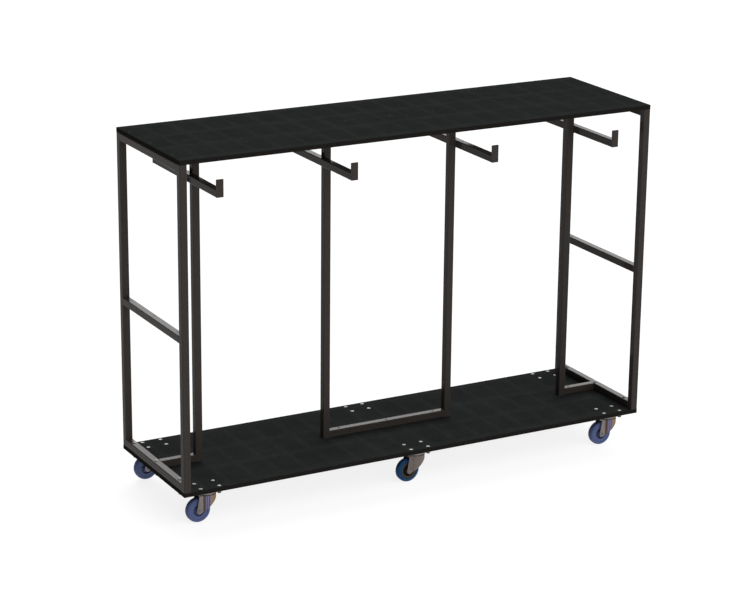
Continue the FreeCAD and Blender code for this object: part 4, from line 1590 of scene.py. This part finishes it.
class Cart:
    """The whole cart: finishes for the carried-over boards and tubes, and the pieces made here."""

    boards = ("deck_board", "top_board")

    def dress_frame(self) -> None:
        """Give boards, tubes and stop plates their finishes."""
        for node in self.boards:
            paint_node(node, BOARD_FILM)
        for node in frame["nodes"]:
            if node.endswith(("_post", "_rail", "_arm")) or node == "arm_stop_plates":
                paint_node(node, FRAME_PAINT)

    def build(self) -> None:
        """Make everything in order."""
        self.dress_frame()
        Welds().build()
        CastorTops().build()
        Fasteners().build()
        for name in CASTOR_NAMES:
            in_middle = name.endswith("middle")
            Fork(name, PLAIN_FORK_ZINC if in_middle else FORK_ZINC_PAINTED_REFLECTIONS).build()
            Wheel(name, Tread.BEVELLED if in_middle else Tread.ROUND).build()


@dataclass(frozen=True)
class Studio:
    """Pale floor, even soft light and the camera."""

    lens: float = 116.54
    sensor: float = 36.0
    camera_place: tuple[float, float, float] = (-4.5858, -8.2569, 3.6713)
    yaw: float = 28.738
    pitch: float = 17.499
    roll: float = 0.601
    floor_size: float = 80.0
    surround: float = 0.6
    rear_gain: float = 4.5
    front_gain: float = 0.9
    left_loss: float = 0.6
    backdrop: float = 1.05
    bright_side: tuple[float, float, float] = (0.458, 0.836, 0.3)
    front_side: tuple[float, float, float] = (0.35, -0.93, 0.1)
    left_side: tuple[float, float, float] = (-1.0, 0.0, 0.0)
    key_power: float = 28.0
    key_place: tuple[float, float, float] = (1.5, -4.5, 5.5)
    key_aim: tuple[float, float, float] = (0.0, 0.0, 0.7)
    key_size: tuple[float, float] = (5.0, 3.0)

    def floor(self) -> None:
        """A wide pale floor under the wheels."""
        bm = bmesh.new()
        bmesh.ops.create_grid(bm, x_segments=8, y_segments=8, size=self.floor_size / 2)
        mesh = to_mesh(bm, "pale_floor")
        mesh.materials.append(FLOOR.material())
        ground = bpy.data.objects.new("pale_floor", mesh)
        bpy.context.scene.collection.objects.link(ground)

    def light(self) -> None:
        """A pale surround, brightest low behind the cart and dimmest on its left, and a soft light above."""
        world = bpy.data.worlds.new("pale_surround")
        world.use_nodes = True
        bpy.context.scene.world = world
        graph = Graph(world.node_tree)
        heading = graph.add("ShaderNodeTexCoord").outputs["Generated"]
        rear = graph.span(self.towards(graph, heading, self.bright_side), 0.7, 0.96, 0.0, self.rear_gain)
        rear = graph.times(rear, graph.span(graph.split(heading)[2], 0.2, 0.36, 0.28, 1.0))
        left = graph.span(self.towards(graph, heading, self.left_side), 0.0, 0.6, 0.0, self.left_loss)
        front = graph.span(self.towards(graph, heading, self.front_side), 0.2, 0.9, 0.0, self.front_gain)
        strength = graph.maths("SUBTRACT", graph.plus(graph.plus(rear, front), self.surround), left)
        seen = graph.add("ShaderNodeLightPath").outputs["Is Camera Ray"]
        strength = graph.span(seen, 0.0, 1.0, strength, self.backdrop)
        graph.fill(world.node_tree.nodes["Background"], {"Color": WHITE, "Strength": strength})
        lamp = bpy.data.lights.new("soft_key", "AREA")
        lamp.shape = "RECTANGLE"
        lamp.size, lamp.size_y = self.key_size
        lamp.energy = self.key_power
        holder = bpy.data.objects.new("soft_key", lamp)
        holder.location = self.key_place
        aim = Vector(self.key_aim) - Vector(self.key_place)
        holder.rotation_euler = aim.to_track_quat("-Z", "Y").to_euler()
        bpy.context.scene.collection.objects.link(holder)

    @staticmethod
    def towards(graph: Graph, heading: Socket, side: tuple[float, float, float]) -> Socket:
        """How closely a heading points to one side.

        Args:
            graph: The surround's graph.
            heading: The heading.
            side: The side, as a direction.

        Returns:
            The cosine between them.
        """
        node = graph.add("ShaderNodeVectorMath", operation="DOT_PRODUCT")
        graph.feed(node.inputs[0], heading)
        graph.feed(node.inputs[1], side)
        return node.outputs["Value"]

    def camera(self) -> None:
        """The camera, turned by its yaw, pitch and roll."""
        data = bpy.data.cameras.new("view")
        data.lens = self.lens
        data.sensor_width = self.sensor
        data.clip_end = 200.0
        holder = bpy.data.objects.new("view", data)
        turns = ((-self.yaw, "Z"), (90 - self.pitch, "X"), (self.roll, "Z"))
        yaw, pitch, roll = (Matrix.Rotation(math.radians(angle), 4, axis) for angle, axis in turns)
        holder.matrix_world = Matrix.Translation(self.camera_place) @ (yaw @ pitch @ roll)
        bpy.context.scene.collection.objects.link(holder)
        bpy.context.scene.camera = holder

    def build(self) -> None:
        """Set everything up."""
        self.floor()
        self.light()
        self.camera()
        bpy.context.scene.view_settings.view_transform = "Standard"


def main() -> None:
    """Dress the cart and set the studio."""
    logging.basicConfig(level=logging.INFO, format="%(name)s: %(message)s")
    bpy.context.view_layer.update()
    Cart().build()
    Studio().build()


if __name__ == "__main__":
    main()
